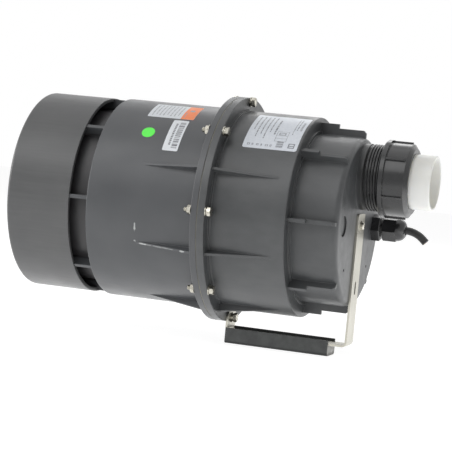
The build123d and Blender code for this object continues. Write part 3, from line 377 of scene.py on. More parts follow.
# One finish for each material slot that the CAD nodes name.
slotFinishes = {
    "casing_plastic": mouldedPlastic("casingCharcoal", {
        # The recess colour is painted shade on the tube under the intake cover.
        **charcoal, "marks": casingMarks, "recess": 87 * mm, "recessEnd": -176.2 * mm,
        "recessShadeColour": (0.03, 0.029, 0.031)}),
    "cover_plastic": mouldedPlastic("coverCharcoal", {
        **charcoal, "colour": (0.062, 0.063, 0.065), "cloudColour": (0.076, 0.077, 0.078), "edge": 1.2 * mm,
        "streaks": (26, 420, 420), "streaky": 0.055}),
    "inner_plastic": mouldedPlastic("innerBlack", {
        **charcoal, "colour": (0.03, 0.03, 0.031), "cloudColour": (0.042, 0.042, 0.043), "scuffs": 0.05}),
    "block_plastic": mouldedPlastic("blockCream", {
        **charcoal, "colour": (0.62, 0.57, 0.44), "cloudColour": (0.66, 0.62, 0.5),
        "wornColour": (0.7, 0.68, 0.6)}),
    "union_plastic": glossMoulding("unionBlack", {
        "colour": (0.012, 0.0125, 0.0135), "hazeColour": (0.02, 0.021, 0.022),
        "wornColour": (0.16, 0.16, 0.16), "roughness": 0.19, "edge": 0.6 * mm}),
    "gland_plastic": glossMoulding("glandBlack", {
        "colour": (0.016, 0.016, 0.017), "hazeColour": (0.026, 0.026, 0.028),
        "wornColour": (0.12, 0.12, 0.12), "roughness": 0.24, "edge": 0.5 * mm}),
    "tail_plastic": pipePlastic("pipeWhite", {
        "colour": (0.87, 0.87, 0.835), "agedColour": (0.84, 0.84, 0.79), "boreColour": (0.86, 0.84, 0.73),
        "bore": 20.7 * mm, "edge": 1.2 * mm}),
    "seal_rubber": rubber("sealRubber", {
        "colour": (0.018, 0.018, 0.018), "bloomColour": (0.04, 0.04, 0.04), "roughness": 0.62,
        "bloomScale": 90}),
    # The foot's end face colour is painted light, not a colour of the rubber.
    "foot_rubber": rubber("footRubber", {
        "colour": (0.026, 0.028, 0.028), "bloomColour": (0.062, 0.066, 0.064), "roughness": 0.5,
        "bloomScale": 120, "cutEnd": 52 * mm, "endFaceLightColour": (0.29, 0.285, 0.27)}),
    "cable_rubber": rubber("cableSheath", {
        "colour": (0.02, 0.02, 0.021), "bloomColour": (0.035, 0.035, 0.036), "roughness": 0.5,
        "bloomScale": 160}),
    "strap_steel": brushedSteel("strapStainless", {
        "colour": (0.44, 0.425, 0.375), "smearColour": (0.38, 0.37, 0.32), "edgeColour": (0.66, 0.64, 0.58),
        "roughness": 0.36, "hairline": (60, 2400, 60)}),
    "sheet_steel": brushedSteel("shellSteel", {
        "colour": (0.56, 0.57, 0.58), "smearColour": (0.5, 0.5, 0.51), "edgeColour": (0.7, 0.7, 0.7),
        "roughness": 0.34, "hairline": (1800, 40, 40)}),
    "zinc_steel": platedMetal("fastenerNickel", {
        "colour": (0.45, 0.435, 0.385), "stainColour": (0.31, 0.295, 0.25), "roughness": 0.26,
        "stainScale": 420, "grain": 3000, "grainDepth": 0.02 * mm}),
    "bearing_steel": platedMetal("groundSteel", {
        "colour": (0.66, 0.66, 0.67), "stainColour": (0.56, 0.56, 0.57), "roughness": 0.18, "stainScale": 200,
        "grain": 4000, "grainDepth": 0.01 * mm}),
    "cast_aluminium": platedMetal("castAluminium", {
        "colour": (0.56, 0.565, 0.57), "stainColour": (0.46, 0.46, 0.46), "roughness": 0.5, "stainScale": 80,
        "grain": 1200, "grainDepth": 0.16 * mm}),
    "fan_aluminium": brushedSteel("fanAluminium", {
        "colour": (0.72, 0.725, 0.73), "smearColour": (0.64, 0.64, 0.645), "edgeColour": (0.82, 0.82, 0.82),
        "roughness": 0.3, "hairline": (40, 1600, 40)}),
    "brass_screw": platedMetal("brass", {
        "colour": (0.68, 0.46, 0.17), "stainColour": (0.5, 0.31, 0.12), "roughness": 0.3, "stainScale": 240,
        "grain": 2500, "grainDepth": 0.02 * mm}),
    "lamination_steel": stackedSteel("laminations"),
    "copper_wire": woundCopper("enamelledCopper"),
    "foam": openFoam("openFoam"),
    "carbon": rubber("carbonBlock", {
        "colour": (0.02, 0.02, 0.02), "bloomColour": (0.05, 0.05, 0.05), "roughness": 0.5,
        "bloomScale": 300}),
}

# The outlet casing is darker past the neck's start; pocket is the knockout's y, z, radius and floor, and its
# wall is painted dark as shade.
outletFinish = mouldedPlastic("outletCharcoal", {
    **charcoal, "colour": (0.05, 0.053, 0.056), "cloudColour": (0.066, 0.069, 0.071),
    "streaks": (60, 110, 110), "streaky": 0.08, "neckStart": 68.4 * mm, "neckToneAndPocketShade": (0.027, 0.028, 0.029),
    "pocket": (-60 * mm, 128.5 * mm, 9.8 * mm, 67.9 * mm)})

for name, node in nodes.items():
    for index, material in enumerate(node.data.materials):
        node.data.materials[index] = slotFinishes[material.name]
nodes["outlet_casing"].data.materials[0] = outletFinish
print("finishes given to the CAD nodes")


crease = radians(32)  # faces that meet at more than this are shaded with a sharp edge


def only(kind, made):
    return [part for part in made if isinstance(part, kind)]


# Turn a bmesh into a finished piece that rides on a body.
def finished(bm, name, materials, body):
    bmesh.ops.remove_doubles(bm, verts=bm.verts, dist=0.001 * mm)
    bmesh.ops.recalc_face_normals(bm, faces=bm.faces)
    for face in bm.faces:
        face.smooth = True
    for edge in bm.edges:
        edge.smooth = len(edge.link_faces) == 2 and edge.calc_face_angle(0) < crease
    mesh = bpy.data.meshes.new(name)
    bm.to_mesh(mesh)
    bm.free()
    for material in materials:
        mesh.materials.append(material)
    piece = linked(name, mesh)
    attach(piece, body)
    return piece


# Move a shape to its place and join it to the piece being built.
def addShape(piece, shape, matrix):
    bmesh.ops.transform(shape, matrix=matrix, verts=shape.verts)
    loose = bpy.data.meshes.new("loose")
    shape.to_mesh(loose)
    shape.free()
    piece.from_mesh(loose)
    bpy.data.meshes.remove(loose)


# Closed outline of (along X, radius) points, as vertices and edges.
def outlineOf(bm, profile):
    corners = [bm.verts.new((along, 0, radius)) for along, radius in profile]
    ring = [bm.edges.new((corners[i - 1], corners[i])) for i in range(len(corners))]
    return corners + ring


# Spin an outline once about the X axis.
def lathe(profile, steps):
    bm = bmesh.new()
    bmesh.ops.spin(bm, geom=outlineOf(bm, profile), cent=(0, 0, 0), axis=(1, 0, 0), dvec=(0, 0, 0),
                   angle=tau, steps=steps, use_merge=True)
    bmesh.ops.remove_doubles(bm, verts=bm.verts, dist=0.004 * mm)
    return bm


# Edges at the open end of a tube that lie on the given side of a station.
def openRim(bm, beyond, after):
    return [edge for edge in bm.edges if len(edge.link_faces) < 2
            and all((vert.co.x > beyond) == after for vert in edge.verts)]


# Grow an open rim to a circle of another radius at a station.
def growRim(bm, rim, station, radius):
    grown = bmesh.ops.extrude_edge_only(bm, edges=rim)["geom"]
    for vert in only(BMVert, grown):
        out = Vector((0, vert.co.y, vert.co.z)).normalized() * radius
        vert.co = (station, out.y, out.z)
    return [edge for edge in only(BMEdge, grown) if len(edge.link_faces) < 2]


# Hexagon along +X from 0 with its corners turned off at 30 degrees, and a bore if one is given.
# The chamfer is the share of the flats that the end face keeps.
def hexPrism(flats, length, chamfer, bore=0.0, bothEnds=False):
    bm = bmesh.new()
    base = bmesh.ops.create_circle(bm, segments=48, radius=1, matrix=Matrix.Rotation(pi / 2, 4, "Y"))["verts"]
    for vert in base:
        angle = atan2(vert.co.z, vert.co.y) % (pi / 3) - pi / 6
        vert.co *= flats / 2 / cos(angle)
        vert.co.x = 0
    top = only(BMVert, bmesh.ops.extrude_edge_only(bm, edges=bm.edges[:])["geom"])
    bmesh.ops.translate(bm, verts=top, vec=(length, 0, 0))
    inner = flats / 2 * chamfer
    for verts, side in ((top, -1), (base, 1 if bothEnds else 0)):
        for vert in verts:
            vert.co.x += side * (Vector((0, vert.co.y, vert.co.z)).length - inner) * tan(radians(30))
    for station, after in ((length, True), (0.0, False)):
        rim = openRim(bm, length / 2, after)
        if after or bothEnds:
            rim = growRim(bm, rim, station, inner)
        if bore:
            growRim(bm, rim, station, bore)
        else:
            bmesh.ops.edgeloop_fill(bm, edges=rim)
    if bore:
        bmesh.ops.bridge_loops(bm, edges=[edge for edge in bm.edges if len(edge.link_faces) < 2])
    return bm


# Wind an outline about the X axis, with a rise at each step and both ends closed.
def wound(profile, angle, steps, rise):
    bm = bmesh.new()
    start = outlineOf(bm, profile)
    bmesh.ops.contextual_create(bm, geom=start)
    made = bmesh.ops.spin(bm, geom=start, cent=(0, 0, 0), axis=(1, 0, 0), dvec=(rise, 0, 0),
                          angle=angle, steps=steps)
    bmesh.ops.contextual_create(bm, geom=only(BMEdge, made["geom_last"]))
    return bm


# Thread ridge from 0 along +X that fades out at both ends; steps is the count in one turn.
def helixRidge(profile, pitch, turns, steps, fade):
    bm = wound(profile, tau * turns, int(steps * turns), pitch / steps)
    root = min(radius for _, radius in profile)
    length = max(vert.co.x for vert in bm.verts)
    for vert in bm.verts:
        share = max(0.0, min(1.0, vert.co.x / fade, (length - vert.co.x) / fade))
        out = Vector((0, vert.co.y, vert.co.z))
        out *= (root + (out.length - root) * share) / out.length
        vert.co = (vert.co.x, out.y, out.z)
    return bm


# Thread on the outlet neck, over the CAD's plain neck.
neckThread = {
    "station": 133.2 * mm, "steps": 72, "root": 30.4 * mm, "crest": 32.1 * mm, "pitch": 2.75 * mm,
    "turns": 9.0, "rootWidth": 2.0 * mm, "crestWidth": 0.55 * mm, "fade": 2.4 * mm,
}


def makeNeckThread(look):
    bm = bmesh.new()
    flank = (look["rootWidth"] - look["crestWidth"]) / 2
    profile = [(0, look["root"]), (flank, look["crest"]), (flank + look["crestWidth"], look["crest"]),
               (look["rootWidth"], look["root"])]
    addShape(bm, helixRidge(profile, look["pitch"], look["turns"], look["steps"], look["fade"]),
             alongAxis(look["station"], z=blower["neckRise"]))
    return finished(bm, "neckThread", [slotFinishes["union_plastic"]], "housing")


makeNeckThread(neckThread)
print("neck thread made")

# Flange fasteners: chamfered heads, washers, nuts and thread tips in place of the CAD's plain ones.
# One bolt also holds the strap, and each head and nut is turned by its own angle.
fasteners = {
    "circle": 105.95 * mm, "count": 8, "flats": 8.0 * mm, "bolt": 2.4 * mm, "root": 2.1 * mm,
    "head": 3.5 * mm, "headFace": 7.3 * mm, "headChamfer": 0.86, "twist": radians(17),
    "twistStep": radians(41), "nut": 3.2 * mm, "nutFace": -6.6 * mm, "nutChamfer": 0.93, "nutTwist": 0.6,
    "washer": 5.0 * mm, "washerThick": 0.9 * mm, "springWasher": 1.1 * mm, "strap": 2.0 * mm, "strapBolt": 6,
    "tip": -14.2 * mm, "boltChamfer": 0.6 * mm, "lead": 0.2 * mm, "pitch": 0.8 * mm, "turns": 4.2,
    "steps": 20, "fade": 0.6 * mm, "ridge": (0, 0.3 * mm, 0.42 * mm, 0.72 * mm),
}


def ringAt(look, angle, station, turn=0.0):
    place = Matrix.Translation((0, look["circle"] * cos(angle), look["circle"] * sin(angle)))
    return alongAxis(station) @ place @ Matrix.Rotation(turn, 4, "X")


def washerShape(inner, outer, thick):
    return lathe([(0, inner), (0, outer - 0.1 * mm), (0.1 * mm, outer), (thick - 0.15 * mm, outer),
                  (thick, outer - 0.2 * mm), (thick, inner)], 32)


# Square-section washer cut through at one place, its ends sprung apart.
def springShape(inner, outer, thick):
    return wound([(0, inner), (0, outer), (thick, outer), (thick, inner)], radians(346), 36, 0.006 * mm)


def makeFlangeFasteners(look):
    bolts, washers, nuts = bmesh.new(), bmesh.new(), bmesh.new()
    flip = Matrix.Rotation(pi, 4, "Z")
    for step in range(look["count"]):
        angle = tau * step / look["count"]
        strap = look["strap"] if step == look["strapBolt"] else 0
        spring = look["headFace"] + strap + look["washerThick"]
        head = spring + look["springWasher"]
        twist = look["twist"] + look["twistStep"] * step
        for face, turned in ((look["headFace"] + strap, Matrix()), (look["nutFace"], flip)):
            addShape(washers, washerShape(look["bolt"], look["washer"], look["washerThick"]),
                     ringAt(look, angle, face) @ turned)
        addShape(washers, springShape(look["bolt"], look["flats"] / 2, look["springWasher"]),
                 ringAt(look, angle, spring, twist * 3))
        addShape(bolts, hexPrism(look["flats"], look["head"], look["headChamfer"]),
                 ringAt(look, angle, head, twist))
        length, root, chamfer = head - look["tip"], look["root"], look["boltChamfer"]
        shank = [(length, 0), (length, root), (chamfer, root), (0, root - chamfer), (0, 0)]
        addShape(bolts, lathe(shank, 24), ringAt(look, angle, look["tip"]))
        buried = root - 0.1 * mm
        ridge = list(zip(look["ridge"], (buried, look["bolt"], look["bolt"], buried)))
        addShape(bolts, helixRidge(ridge, look["pitch"], look["turns"], look["steps"], look["fade"]),
                 ringAt(look, angle, look["tip"] + look["lead"]))
        bore = look["bolt"] + 0.05 * mm
        addShape(nuts, hexPrism(look["flats"], look["nut"], look["nutChamfer"], bore, bothEnds=True),
                 ringAt(look, angle, look["nutFace"] - look["washerThick"], twist + look["nutTwist"]) @ flip)
    metal = [slotFinishes["zinc_steel"]]
    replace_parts(finished(bolts, "hexBolts", metal, "housing"), "flange_bolts")
    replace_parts(finished(washers, "plainWashers", metal, "housing"), "flange_washers")
    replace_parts(finished(nuts, "hexNuts", metal, "housing"), "flange_nuts")


makeFlangeFasteners(fasteners)
print("flange fasteners made")

# Bracket screw: a cross-recessed pan head on a plain washer.
strapScrew = {
    "station": 129.9 * mm, "offset": -2.8 * mm, "washerInner": 1.75 * mm, "washerOuter": 5.0 * mm,
    "washerThick": 0.9 * mm, "head": 3.7 * mm, "headHigh": 2.4 * mm, "shank": 1.65 * mm, "length": 9.8 * mm,
    "slotLong": 4.0 * mm, "slotWide": 0.75 * mm, "slotDeep": 1.3 * mm, "twist": radians(28),
}


def cutAt(bm, place, normal):
    bmesh.ops.bisect_plane(bm, geom=bm.faces[:] + bm.edges[:] + bm.verts[:], plane_co=place, plane_no=normal)


# Press a cross into the face at the far end of a head by pulling the faces that it covers inwards.
def crossRecess(bm, look, top):
    half, wide = look["slotLong"] / 2, look["slotWide"] / 2
    for across, along in (((0, 1, 0), (0, 0, 1)), ((0, 0, 1), (0, 1, 0))):
        for normal, reach in ((across, wide), (along, half)):
            for side in (1, -1):
                cutAt(bm, Vector(normal) * reach * side, normal)
    covered = []
    for face in bm.faces:
        middle = face.calc_center_median()
        near, far = sorted((abs(middle.y), abs(middle.z)))
        inCross = near < wide and far < half
        if inCross and face.normal.x > 0.3 and middle.x > top * 0.5:
            covered.append(face)
    for vert in only(BMVert, bmesh.ops.extrude_face_region(bm, geom=covered)["geom"]):
        vert.co.x -= look["slotDeep"]
    bmesh.ops.delete(bm, geom=covered, context="FACES")


# Pan-head screw along +X with its head's seat at 0.
def panScrew(look):
    high, wide = look["headHigh"], look["head"]
    dome = [(high * sin(radians(a)) * 0.62 + high * 0.38, wide * cos(radians(a))) for a in range(0, 90, 15)]
    screw = lathe([(0, look["shank"]), (0, wide - 0.1 * mm)] + dome + [(high, 0), (-look["length"], 0),
                  (-look["length"], look["shank"])], 40)
    bmesh.ops.recalc_face_normals(screw, faces=screw.faces)
    crossRecess(screw, look, high)
    return screw


def makeStrapScrew(look):
    screw, washer = bmesh.new(), bmesh.new()
    addShape(washer, washerShape(look["washerInner"], look["washerOuter"], look["washerThick"]),
             alongAxis(look["station"], z=look["offset"]))
    addShape(screw, panScrew(look), alongAxis(look["station"] + look["washerThick"], z=look["offset"])
             @ Matrix.Rotation(look["twist"], 4, "X"))
    metal = [slotFinishes["zinc_steel"]]
    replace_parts(finished(screw, "panHeadScrew", metal, "housing"), "bracket_screw")
    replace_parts(finished(washer, "strapWasher", metal, "housing"), "bracket_washer")


makeStrapScrew(strapScrew)

# The same screw, smaller, through the cover's closed end.
coverScrews = {
    **strapScrew, "station": -199.3 * mm, "circle": 89.24 * mm, "count": 4, "head": 3.5 * mm,
    "shank": 1.7 * mm, "length": 17.4 * mm, "twistStep": 1.3,
}


def makeCoverScrews(look):
    screws = bmesh.new()
    for step in range(look["count"]):
        angle = tau * (step + 0.5) / look["count"]
        place = alongAxis(look["station"], look["circle"] * cos(angle), look["circle"] * sin(angle))
        twist = Matrix.Rotation(look["twistStep"] * step, 4, "X")
        addShape(screws, panScrew(look), place @ Matrix.Rotation(pi, 4, "Z") @ twist)
    piece = finished(screws, "coverPanScrews", [slotFinishes["zinc_steel"]], "housing")
    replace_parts(piece, "cover_screws")


makeCoverScrews(coverScrews)
print("bracket and cover screws made")

# Sealant pressed out along the seam.
sealantBead = {
    "radius": 109.62 * mm, "high": 0.2 * mm, "wide": 0.28 * mm,
    "finish": rubber("sealant", {
        "colour": (0.035, 0.034, 0.03), "bloomColour": (0.3, 0.28, 0.2), "roughness": 0.6, "bloomScale": 26}),
}


def makeSealantBead(look):
    bm = bmesh.new()
    profile = [(look["wide"] * cos(radians(a)), look["radius"] + look["high"] * sin(radians(a)))
               for a in range(0, 360, 45)]
    addShape(bm, lathe(profile, 96), alongAxis(0))
    return finished(bm, "sealantBead", [look["finish"]], "housing")


# Three cores at the cable's cut end, each with its strands.
cableCores = {
    "place": (121.66 * mm, 60 * mm, 115.29 * mm), "droop": 43, "circle": 1.75 * mm, "first": 0.4,
    "core": 1.25 * mm, "strands": 0.75 * mm, "reach": 0.25 * mm, "strandReach": 0.35 * mm, "inside": 2 * mm,
    "chamfer": 0.15 * mm,
    "sheaths": [
        rubber(name, {"colour": colour, "bloomColour": bloom, "roughness": 0.45, "bloomScale": 300})
        for name, colour, bloom in (("coreBrown", (0.08, 0.035, 0.016), (0.12, 0.055, 0.03)),
                                    ("coreBlue", (0.02, 0.05, 0.13), (0.04, 0.08, 0.17)),
                                    ("coreGreen", (0.13, 0.15, 0.03), (0.18, 0.2, 0.05)))],
}


def makeCableCores(look):
    bm = bmesh.new()
    place = Matrix.Translation(look["place"]) @ Matrix.Rotation(radians(look["droop"]), 4, "Y")
    count = len(look["sheaths"])
    for step in range(count):
        angle = tau * step / count + look["first"]
        centre = Matrix.Translation((0, look["circle"] * cos(angle), look["circle"] * sin(angle)))
        for radius, reach, index in ((look["core"], look["reach"], step),
                                     (look["strands"], look["strandReach"], count)):
            core = lathe([(-look["inside"], 0), (-look["inside"], radius), (reach - look["chamfer"], radius),
                          (reach, radius - look["chamfer"]), (reach, 0)], 20)
            for face in core.faces:
                face.material_index = index
            addShape(bm, core, place @ centre)
    return finished(bm, "cableCores", look["sheaths"] + [slotFinishes["copper_wire"]], "housing")


makeSealantBead(sealantBead)
makeCableCores(cableCores)
print("sealant and cable cores made")

# Labels are film wrapped on the casings, with ruled lines, bars and frames for print.
filmLift = 0.02 * mm
filmThick = 0.12 * mm
inkLift = 0.03 * mm
inkHeight = filmThick + inkLift
words = (2.4, 4.6, 1.5, 3.4, 5.4, 1.9, 2.9)


# Bend a flat drawing onto the blower: x stays the station, y runs round it, z stands out from it.
def wrapOn(bm, radius):
    for vert in bm.verts:
        station, arc, height = vert.co
        angle = arc / radius
        vert.co = (blower["seam"] + station, (radius + height) * cos(angle),
                   blower["axis"] + (radius + height) * sin(angle))


# A flat rounded card between two (station, arc) corners, cut so that it can bend.
def flatCard(low, high, height, corner=0.0, thickness=0.0, materialIndex=0, longest=3 * mm):
    bm = bmesh.new()
    size = (high[0] - low[0], high[1] - low[1])
    place = Matrix.Translation(((low[0] + high[0]) / 2, (low[1] + high[1]) / 2, height))
    bmesh.ops.create_grid(bm, x_segments=1, y_segments=1, size=0.5,
                          matrix=place @ Matrix.Diagonal((size[0], size[1], 1, 1)))
    if corner:
        bmesh.ops.bevel(bm, geom=bm.verts[:], offset=corner, offset_type="OFFSET", segments=6, profile=0.5,
                        affect="VERTICES", material=-1)
    cuts = int(size[1] / longest + 0.001) + 1
    for step in range(1, cuts):
        cutAt(bm, (0, low[1] + size[1] * step / cuts, 0), (0, 1, 0))
    if thickness:
        made = bmesh.ops.extrude_face_region(bm, geom=bm.faces[:])["geom"]
        bmesh.ops.translate(bm, verts=only(BMVert, made), vec=(0, 0, thickness))
    for face in bm.faces:
        face.material_index = materialIndex
    return bm


def addCard(bm, *card, **options):
    addShape(bm, flatCard(*card, **options), Matrix())


def addInk(bm, low, high, longest=3 * mm):
    addCard(bm, low, high, inkHeight, materialIndex=1, longest=longest)


def arcsOf(look):
    return [radians(angle) * look["radius"] for angle in look["angles"]]


# The label's own film, drawn flat.
def startLabel(look):
    bm = bmesh.new()
    low, high = zip(look["stations"], arcsOf(look))
    addCard(bm, low, high, filmLift, look["corner"], filmThick)
    return bm


def finishLabel(bm, look, name):
    wrapOn(bm, look["radius"])
    return finished(bm, name, look["films"], "housing")


# Rows of dashes that stand for print. Each line is its station, first and last arc share, dash pattern
# and width.
def printLines(bm, look, lines):
    first, last = arcsOf(look)
    for station, low, high, pattern, width in lines:
        arc = first + (last - first) * low
        stop = first + (last - first) * high
        step = 0
        while arc < stop:
            end = min(arc + pattern[step % len(pattern)] * mm, stop)
            addInk(bm, (station, arc), (station + width, end), 4 * mm)
            arc = end + 0.8 * mm
            step += 1


# Rows of words, one below the other, that end at different arc shares.
def textRows(look):
    low, (start, step) = look["stations"][0], look["rows"]
    return [(low + (start + step * row) * mm, 0.1, end, words[row:] + words[:row], look["rowWidth"])
            for row, end in enumerate(look["rowEnds"])]


# Ruled frame between two (station, arc) corners, with cross rules at the given arc shares.
def printFrame(bm, low, high, width, shares=()):
    edges = [(low, (high[0], low[1] + width)), ((low[0], high[1] - width), high),
             (low, (low[0] + width, high[1])), ((high[0] - width, low[1]), high)]
    for share in shares:
        arc = low[1] + (high[1] - low[1]) * share
        edges.append(((low[0], arc), (high[0], arc + width)))
    for corner, other in edges:
        addInk(bm, corner, other)


# Lines, frames and bars are in millimetres: stations from the low edge, arcs back from the last one.
ratingLabel = {
    "stations": (26 * mm, 79 * mm), "angles": (105, 140), "radius": blower["outletRadius"],
    "corner": 2.0 * mm, "films": [
        printedFilm("ratingFoil", {
            "colour": (0.57, 0.6, 0.65), "fleckColour": (0.64, 0.665, 0.705), "roughness": 0.42,
            "metallic": 0.25}),
        printedFilm("greyInk", {
            "colour": (0.19, 0.2, 0.22), "fleckColour": (0.26, 0.27, 0.29), "roughness": 0.5})],
    "rows": (4.2, 4.1), "rowEnds": (0.56, 0.74, 0.68, 0.78, 0.6), "rowWidth": 1.05 * mm,
    "lines": [(25.4, 0.2, 0.66, words, 1.6), (42.8, 0.1, 0.62, (1.3, 0.9, 1.9, 1.1), 0.9),
              (45.4, 0.1, 0.5, words, 0.9), (48.4, 0.22, 0.5, (1.7, 1.2), 2.0)],
    "frames": [((28.6, 40), (26, 11), 0.35, (0.42, 0.7)), ((30.8, 37.4), (24, 20.4), 0.8, ()),
               ((43.5, 49.8), (9.5, 3.4), 1.0, (0.45,))],
    "marks": (2.6, 1.6, 2.2, 1.2, 2.8, 1.8), "markRow": (4, 4.4, 6.0, 3.6, 0.55),
    "bars": (32, 38.5), "barCount": 9, "barRow": (3.4, 0.95, 0.35, 0.2),
}


def makeRatingLabel(look):
    bm = startLabel(look)
    low, last = look["stations"][0], arcsOf(look)[1]
    lines = [(low + station * mm, start, end, pattern, width * mm)
             for station, start, end, pattern, width in look["lines"]]
    printLines(bm, look, textRows(look) + lines)
    start, step, far, near, rule = look["markRow"]
    marks = [((start + step * place, start + step * place + wide), (far, near), rule, ())
             for place, wide in enumerate(look["marks"])]
    for (left, right), (far, near), rule, shares in look["frames"] + marks:
        printFrame(bm, (low + left * mm, last - far * mm), (low + right * mm, last - near * mm),
                   rule * mm, shares)
    left, right = look["bars"]
    start, step, thin, more = look["barRow"]
    for bar in range(look["barCount"]):
        arc = last - (start + step * bar) * mm
        addInk(bm, (low + left * mm, arc), (low + right * mm, arc + (thin + more * (bar % 3)) * mm))
    return finishLabel(bm, look, "ratingLabel")


casingLabel = {
    "stations": (-79 * mm, -31.7 * mm), "angles": (104, 122.5), "radius": blower["bodyRadius"],
    "corner": 1.2 * mm, "films": [
        printedFilm("paperGrey", {
            "colour": (0.7, 0.73, 0.765), "fleckColour": (0.76, 0.785, 0.81), "roughness": 0.55}),
        printedFilm("paleInk", {
            "colour": (0.36, 0.37, 0.4), "fleckColour": (0.46, 0.47, 0.5), "roughness": 0.55}),
        printedFilm("orangeBlock", {
            "colour": (0.95, 0.25, 0.09), "fleckColour": (0.9, 0.3, 0.13), "roughness": 0.5})],
    "rows": (3.4, 3.7), "rowEnds": (0.9, 0.82, 0.88, 0.9, 0.82, 0.88, 0.9, 0.82), "rowWidth": 1.2 * mm,
    "block": -45 * mm, "blockInset": 0.1 * mm,
}


def makeCasingLabel(look):
    bm = startLabel(look)
    high, (first, last) = look["stations"][1], arcsOf(look)
    printLines(bm, look, textRows(look))
    block, inset = look["block"], look["blockInset"]
    addCard(bm, (block, first + inset), (high - inset, last - inset), inkHeight, materialIndex=2)
    for corner, other in (((block + 4 * mm, first + 11 * mm), (block + 8.6 * mm, first + 15 * mm)),
                          ((block + 2 * mm, first + 18 * mm), (block + 2.8 * mm, last - 3 * mm))):
        addCard(bm, corner, other, inkHeight + inkLift, materialIndex=1)
    return finishLabel(bm, look, "casingLabel")


stripeLabel = {
    "stations": (-50 * mm, -34.5 * mm), "angles": (124, 148), "radius": blower["bodyRadius"],
    "corner": 1.4 * mm, "films": [
        printedFilm("paperWhite", {
            "colour": (0.75, 0.775, 0.81), "fleckColour": (0.8, 0.82, 0.85), "roughness": 0.5}),
        printedFilm("stripeInk", {
            "colour": (0.12, 0.125, 0.14), "fleckColour": (0.2, 0.205, 0.22), "roughness": 0.55})],
    "bars": (7.4 * mm, 1.9 * mm), "margin": 3.4 * mm,
    "line": (4.4 * mm, 0.14, 0.84, (1.5, 1.2, 1.8, 1.3), 2.0 * mm),
    "widths": (0.5, 1.1, 0.4, 0.7, 1.4, 0.5, 0.5, 1.0, 0.6, 1.3, 0.4, 0.8, 0.5, 1.2, 0.6, 0.9),
}


def makeStripeLabel(look):
    bm = startLabel(look)
    (low, high), (first, last) = look["stations"], arcsOf(look)
    far, near = look["bars"]
    widths = look["widths"]
    arc, step = first + look["margin"], 0
    while arc < last - look["margin"]:
        wide = widths[step % len(widths)] * mm
        addInk(bm, (high - far, arc), (high - near, arc + wide))
        arc += wide + widths[(step * 5 + 3) % len(widths)] * mm
        step += 1
    station, *rest = look["line"]
    printLines(bm, look, [(low + station, *rest)])
    return finishLabel(bm, look, "stripeLabel")


greenDot = {
    "station": -69.4 * mm, "angle": 136.6, "radius": blower["bodyRadius"], "width": 12.9 * mm,
    "roundness": 0.98, "films": [printedFilm("dotGreen", {
        "colour": (0.12, 0.97, 0.09), "fleckColour": (0.15, 0.98, 0.12), "roughness": 0.45})],
}


def makeGreenDot(look):
    bm = bmesh.new()
    station, half = look["station"], look["width"] / 2
    arc = radians(look["angle"]) * look["radius"]
    addCard(bm, (station - half, arc - half), (station + half, arc + half), filmLift,
            half * look["roundness"], filmThick)
    return finishLabel(bm, look, "greenDot")


makeRatingLabel(ratingLabel)
makeCasingLabel(casingLabel)
makeStripeLabel(stripeLabel)
makeGreenDot(greenDot)
print("labels made")


# 1 for what the camera sees itself, in a mirror or through glass; 0 for light that only falls on things.
def seenRays(tree):
    rays = tree.nodes.new("ShaderNodeLightPath").outputs
    indirect = combined(tree, "ADD", rays["Is Glossy Ray"], rays["Is Transmission Ray"])
    return combined(tree, "ADD", rays["Is Camera Ray"], indirect)


def makeFloor(look):
    bm = bmesh.new()
    bmesh.ops.create_grid(bm, x_segments=1, y_segments=1, size=look["size"])
    mesh = bpy.data.meshes.new("floor")
    bm.to_mesh(mesh)
    bm.free()
    finish, tree, shader = newFinish("paleFloor", look["colour"], 0.9)
    shader.inputs["Specular IOR Level"].default_value = 0.0
    share = spread(tree, seenRays(tree), 0, 1, 0, look["share"])
    glow = tree.nodes.new("ShaderNodeEmission")
    glow.inputs["Strength"].default_value = look["glow"]
    mix = tree.nodes.new("ShaderNodeMixShader")
    tree.links.new(share, mix.inputs["Fac"])
    tree.links.new(shader.outputs["BSDF"], mix.inputs[1])
    tree.links.new(glow.outputs["Emission"], mix.inputs[2])
    tree.links.new(mix.outputs["Shader"], tree.nodes["Material Output"].inputs["Surface"])
    mesh.materials.append(finish)
    linked("floor", mesh)


def makeWorld(look):
    world = bpy.data.worlds.new("studio")
    bpy.context.scene.world = world
    world.use_nodes = True
    tree = world.node_tree
    back = tree.nodes["Background"]
    tree.links.new(spread(tree, seenRays(tree), 0, 1, look["ambient"], 1), back.inputs["Strength"])
    back.inputs["Color"].default_value = (1, 1, 1, 1)


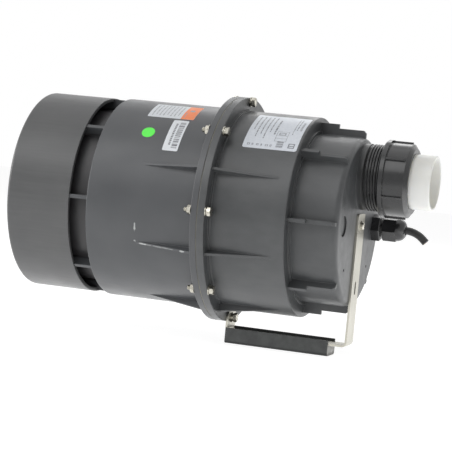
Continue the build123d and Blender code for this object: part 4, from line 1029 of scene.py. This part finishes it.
def addSoftbox(name, place, target, size, power):
    lamp = bpy.data.lights.new(name, "AREA")
    lamp.shape = "RECTANGLE"
    lamp.size, lamp.size_y = size
    lamp.energy = power
    box = linked(name, lamp)
    box.visible_camera = False
    facing = (Vector(target) - Vector(place)).to_track_quat("-Z", "Y").to_matrix().to_4x4()
    box.matrix_world = Matrix.Translation(place) @ facing


# Lamps: name, place, the point each one faces, size and watts.
studio = {
    "floor": {"size": 4.0, "colour": (0.9, 0.9, 0.9), "share": 0.5, "glow": 1.72},
    "world": {"ambient": 0.22},
    "lamps": [
        ("keySoftbox", (-0.7, -1.3, 1.5), (-0.05, 0, 0.15), (1.2, 1.2), 10.2),
        ("topSoftbox", (0, 0.1, 1.7), (0, 0, 0.13), (1.6, 1.2), 3.8),
        ("leftSoftbox", (-1.6, -0.6, 0.5), (-0.1, 0, 0.13), (0.9, 0.9), 15),
        ("rimSoftbox", (0, 1.5, 1.2), (0, 0, 0.15), (1.6, 0.6), 6.5),
        ("backSoftbox", (1.1, 1.0, 0.2), (0.08, 0, 0.1), (1.2, 0.5), 2.2),
        ("lightTable", (-0.02, -0.1, 0.002), (-0.02, -0.1, 1.0), (1.4, 1.0), 2.6),
        ("rightTable", (0.62, 0.1, 0.003), (0.62, 0.1, 1.0), (0.7, 1.0), 2.3),
    ],
}
makeFloor(studio["floor"])
makeWorld(studio["world"])
for lamp in studio["lamps"]:
    addSoftbox(*lamp)

# The camera's place, its angles in degrees and its lens and sensor in millimetres.
view = {
    "place": (0.4827, -1.7037, 0.2112), "azimuth": 17.85, "drop": 3.14, "roll": 5.48,
    "lens": 145.19, "sensor": 36,
}
camera = bpy.data.cameras.new("camera")
camera.sensor_width = view["sensor"]
camera.lens = view["lens"]
cameraObject = linked("camera", camera)
cameraObject.matrix_world = Matrix.Translation(view["place"])
for angle, axis in ((view["azimuth"], "Z"), (90 - view["drop"], "X"), (view["roll"], "Z")):
    cameraObject.matrix_world = cameraObject.matrix_world @ Matrix.Rotation(radians(angle), 4, axis)
bpy.context.scene.camera = cameraObject
bpy.context.scene.view_settings.view_transform = "Standard"
print("studio and camera set")
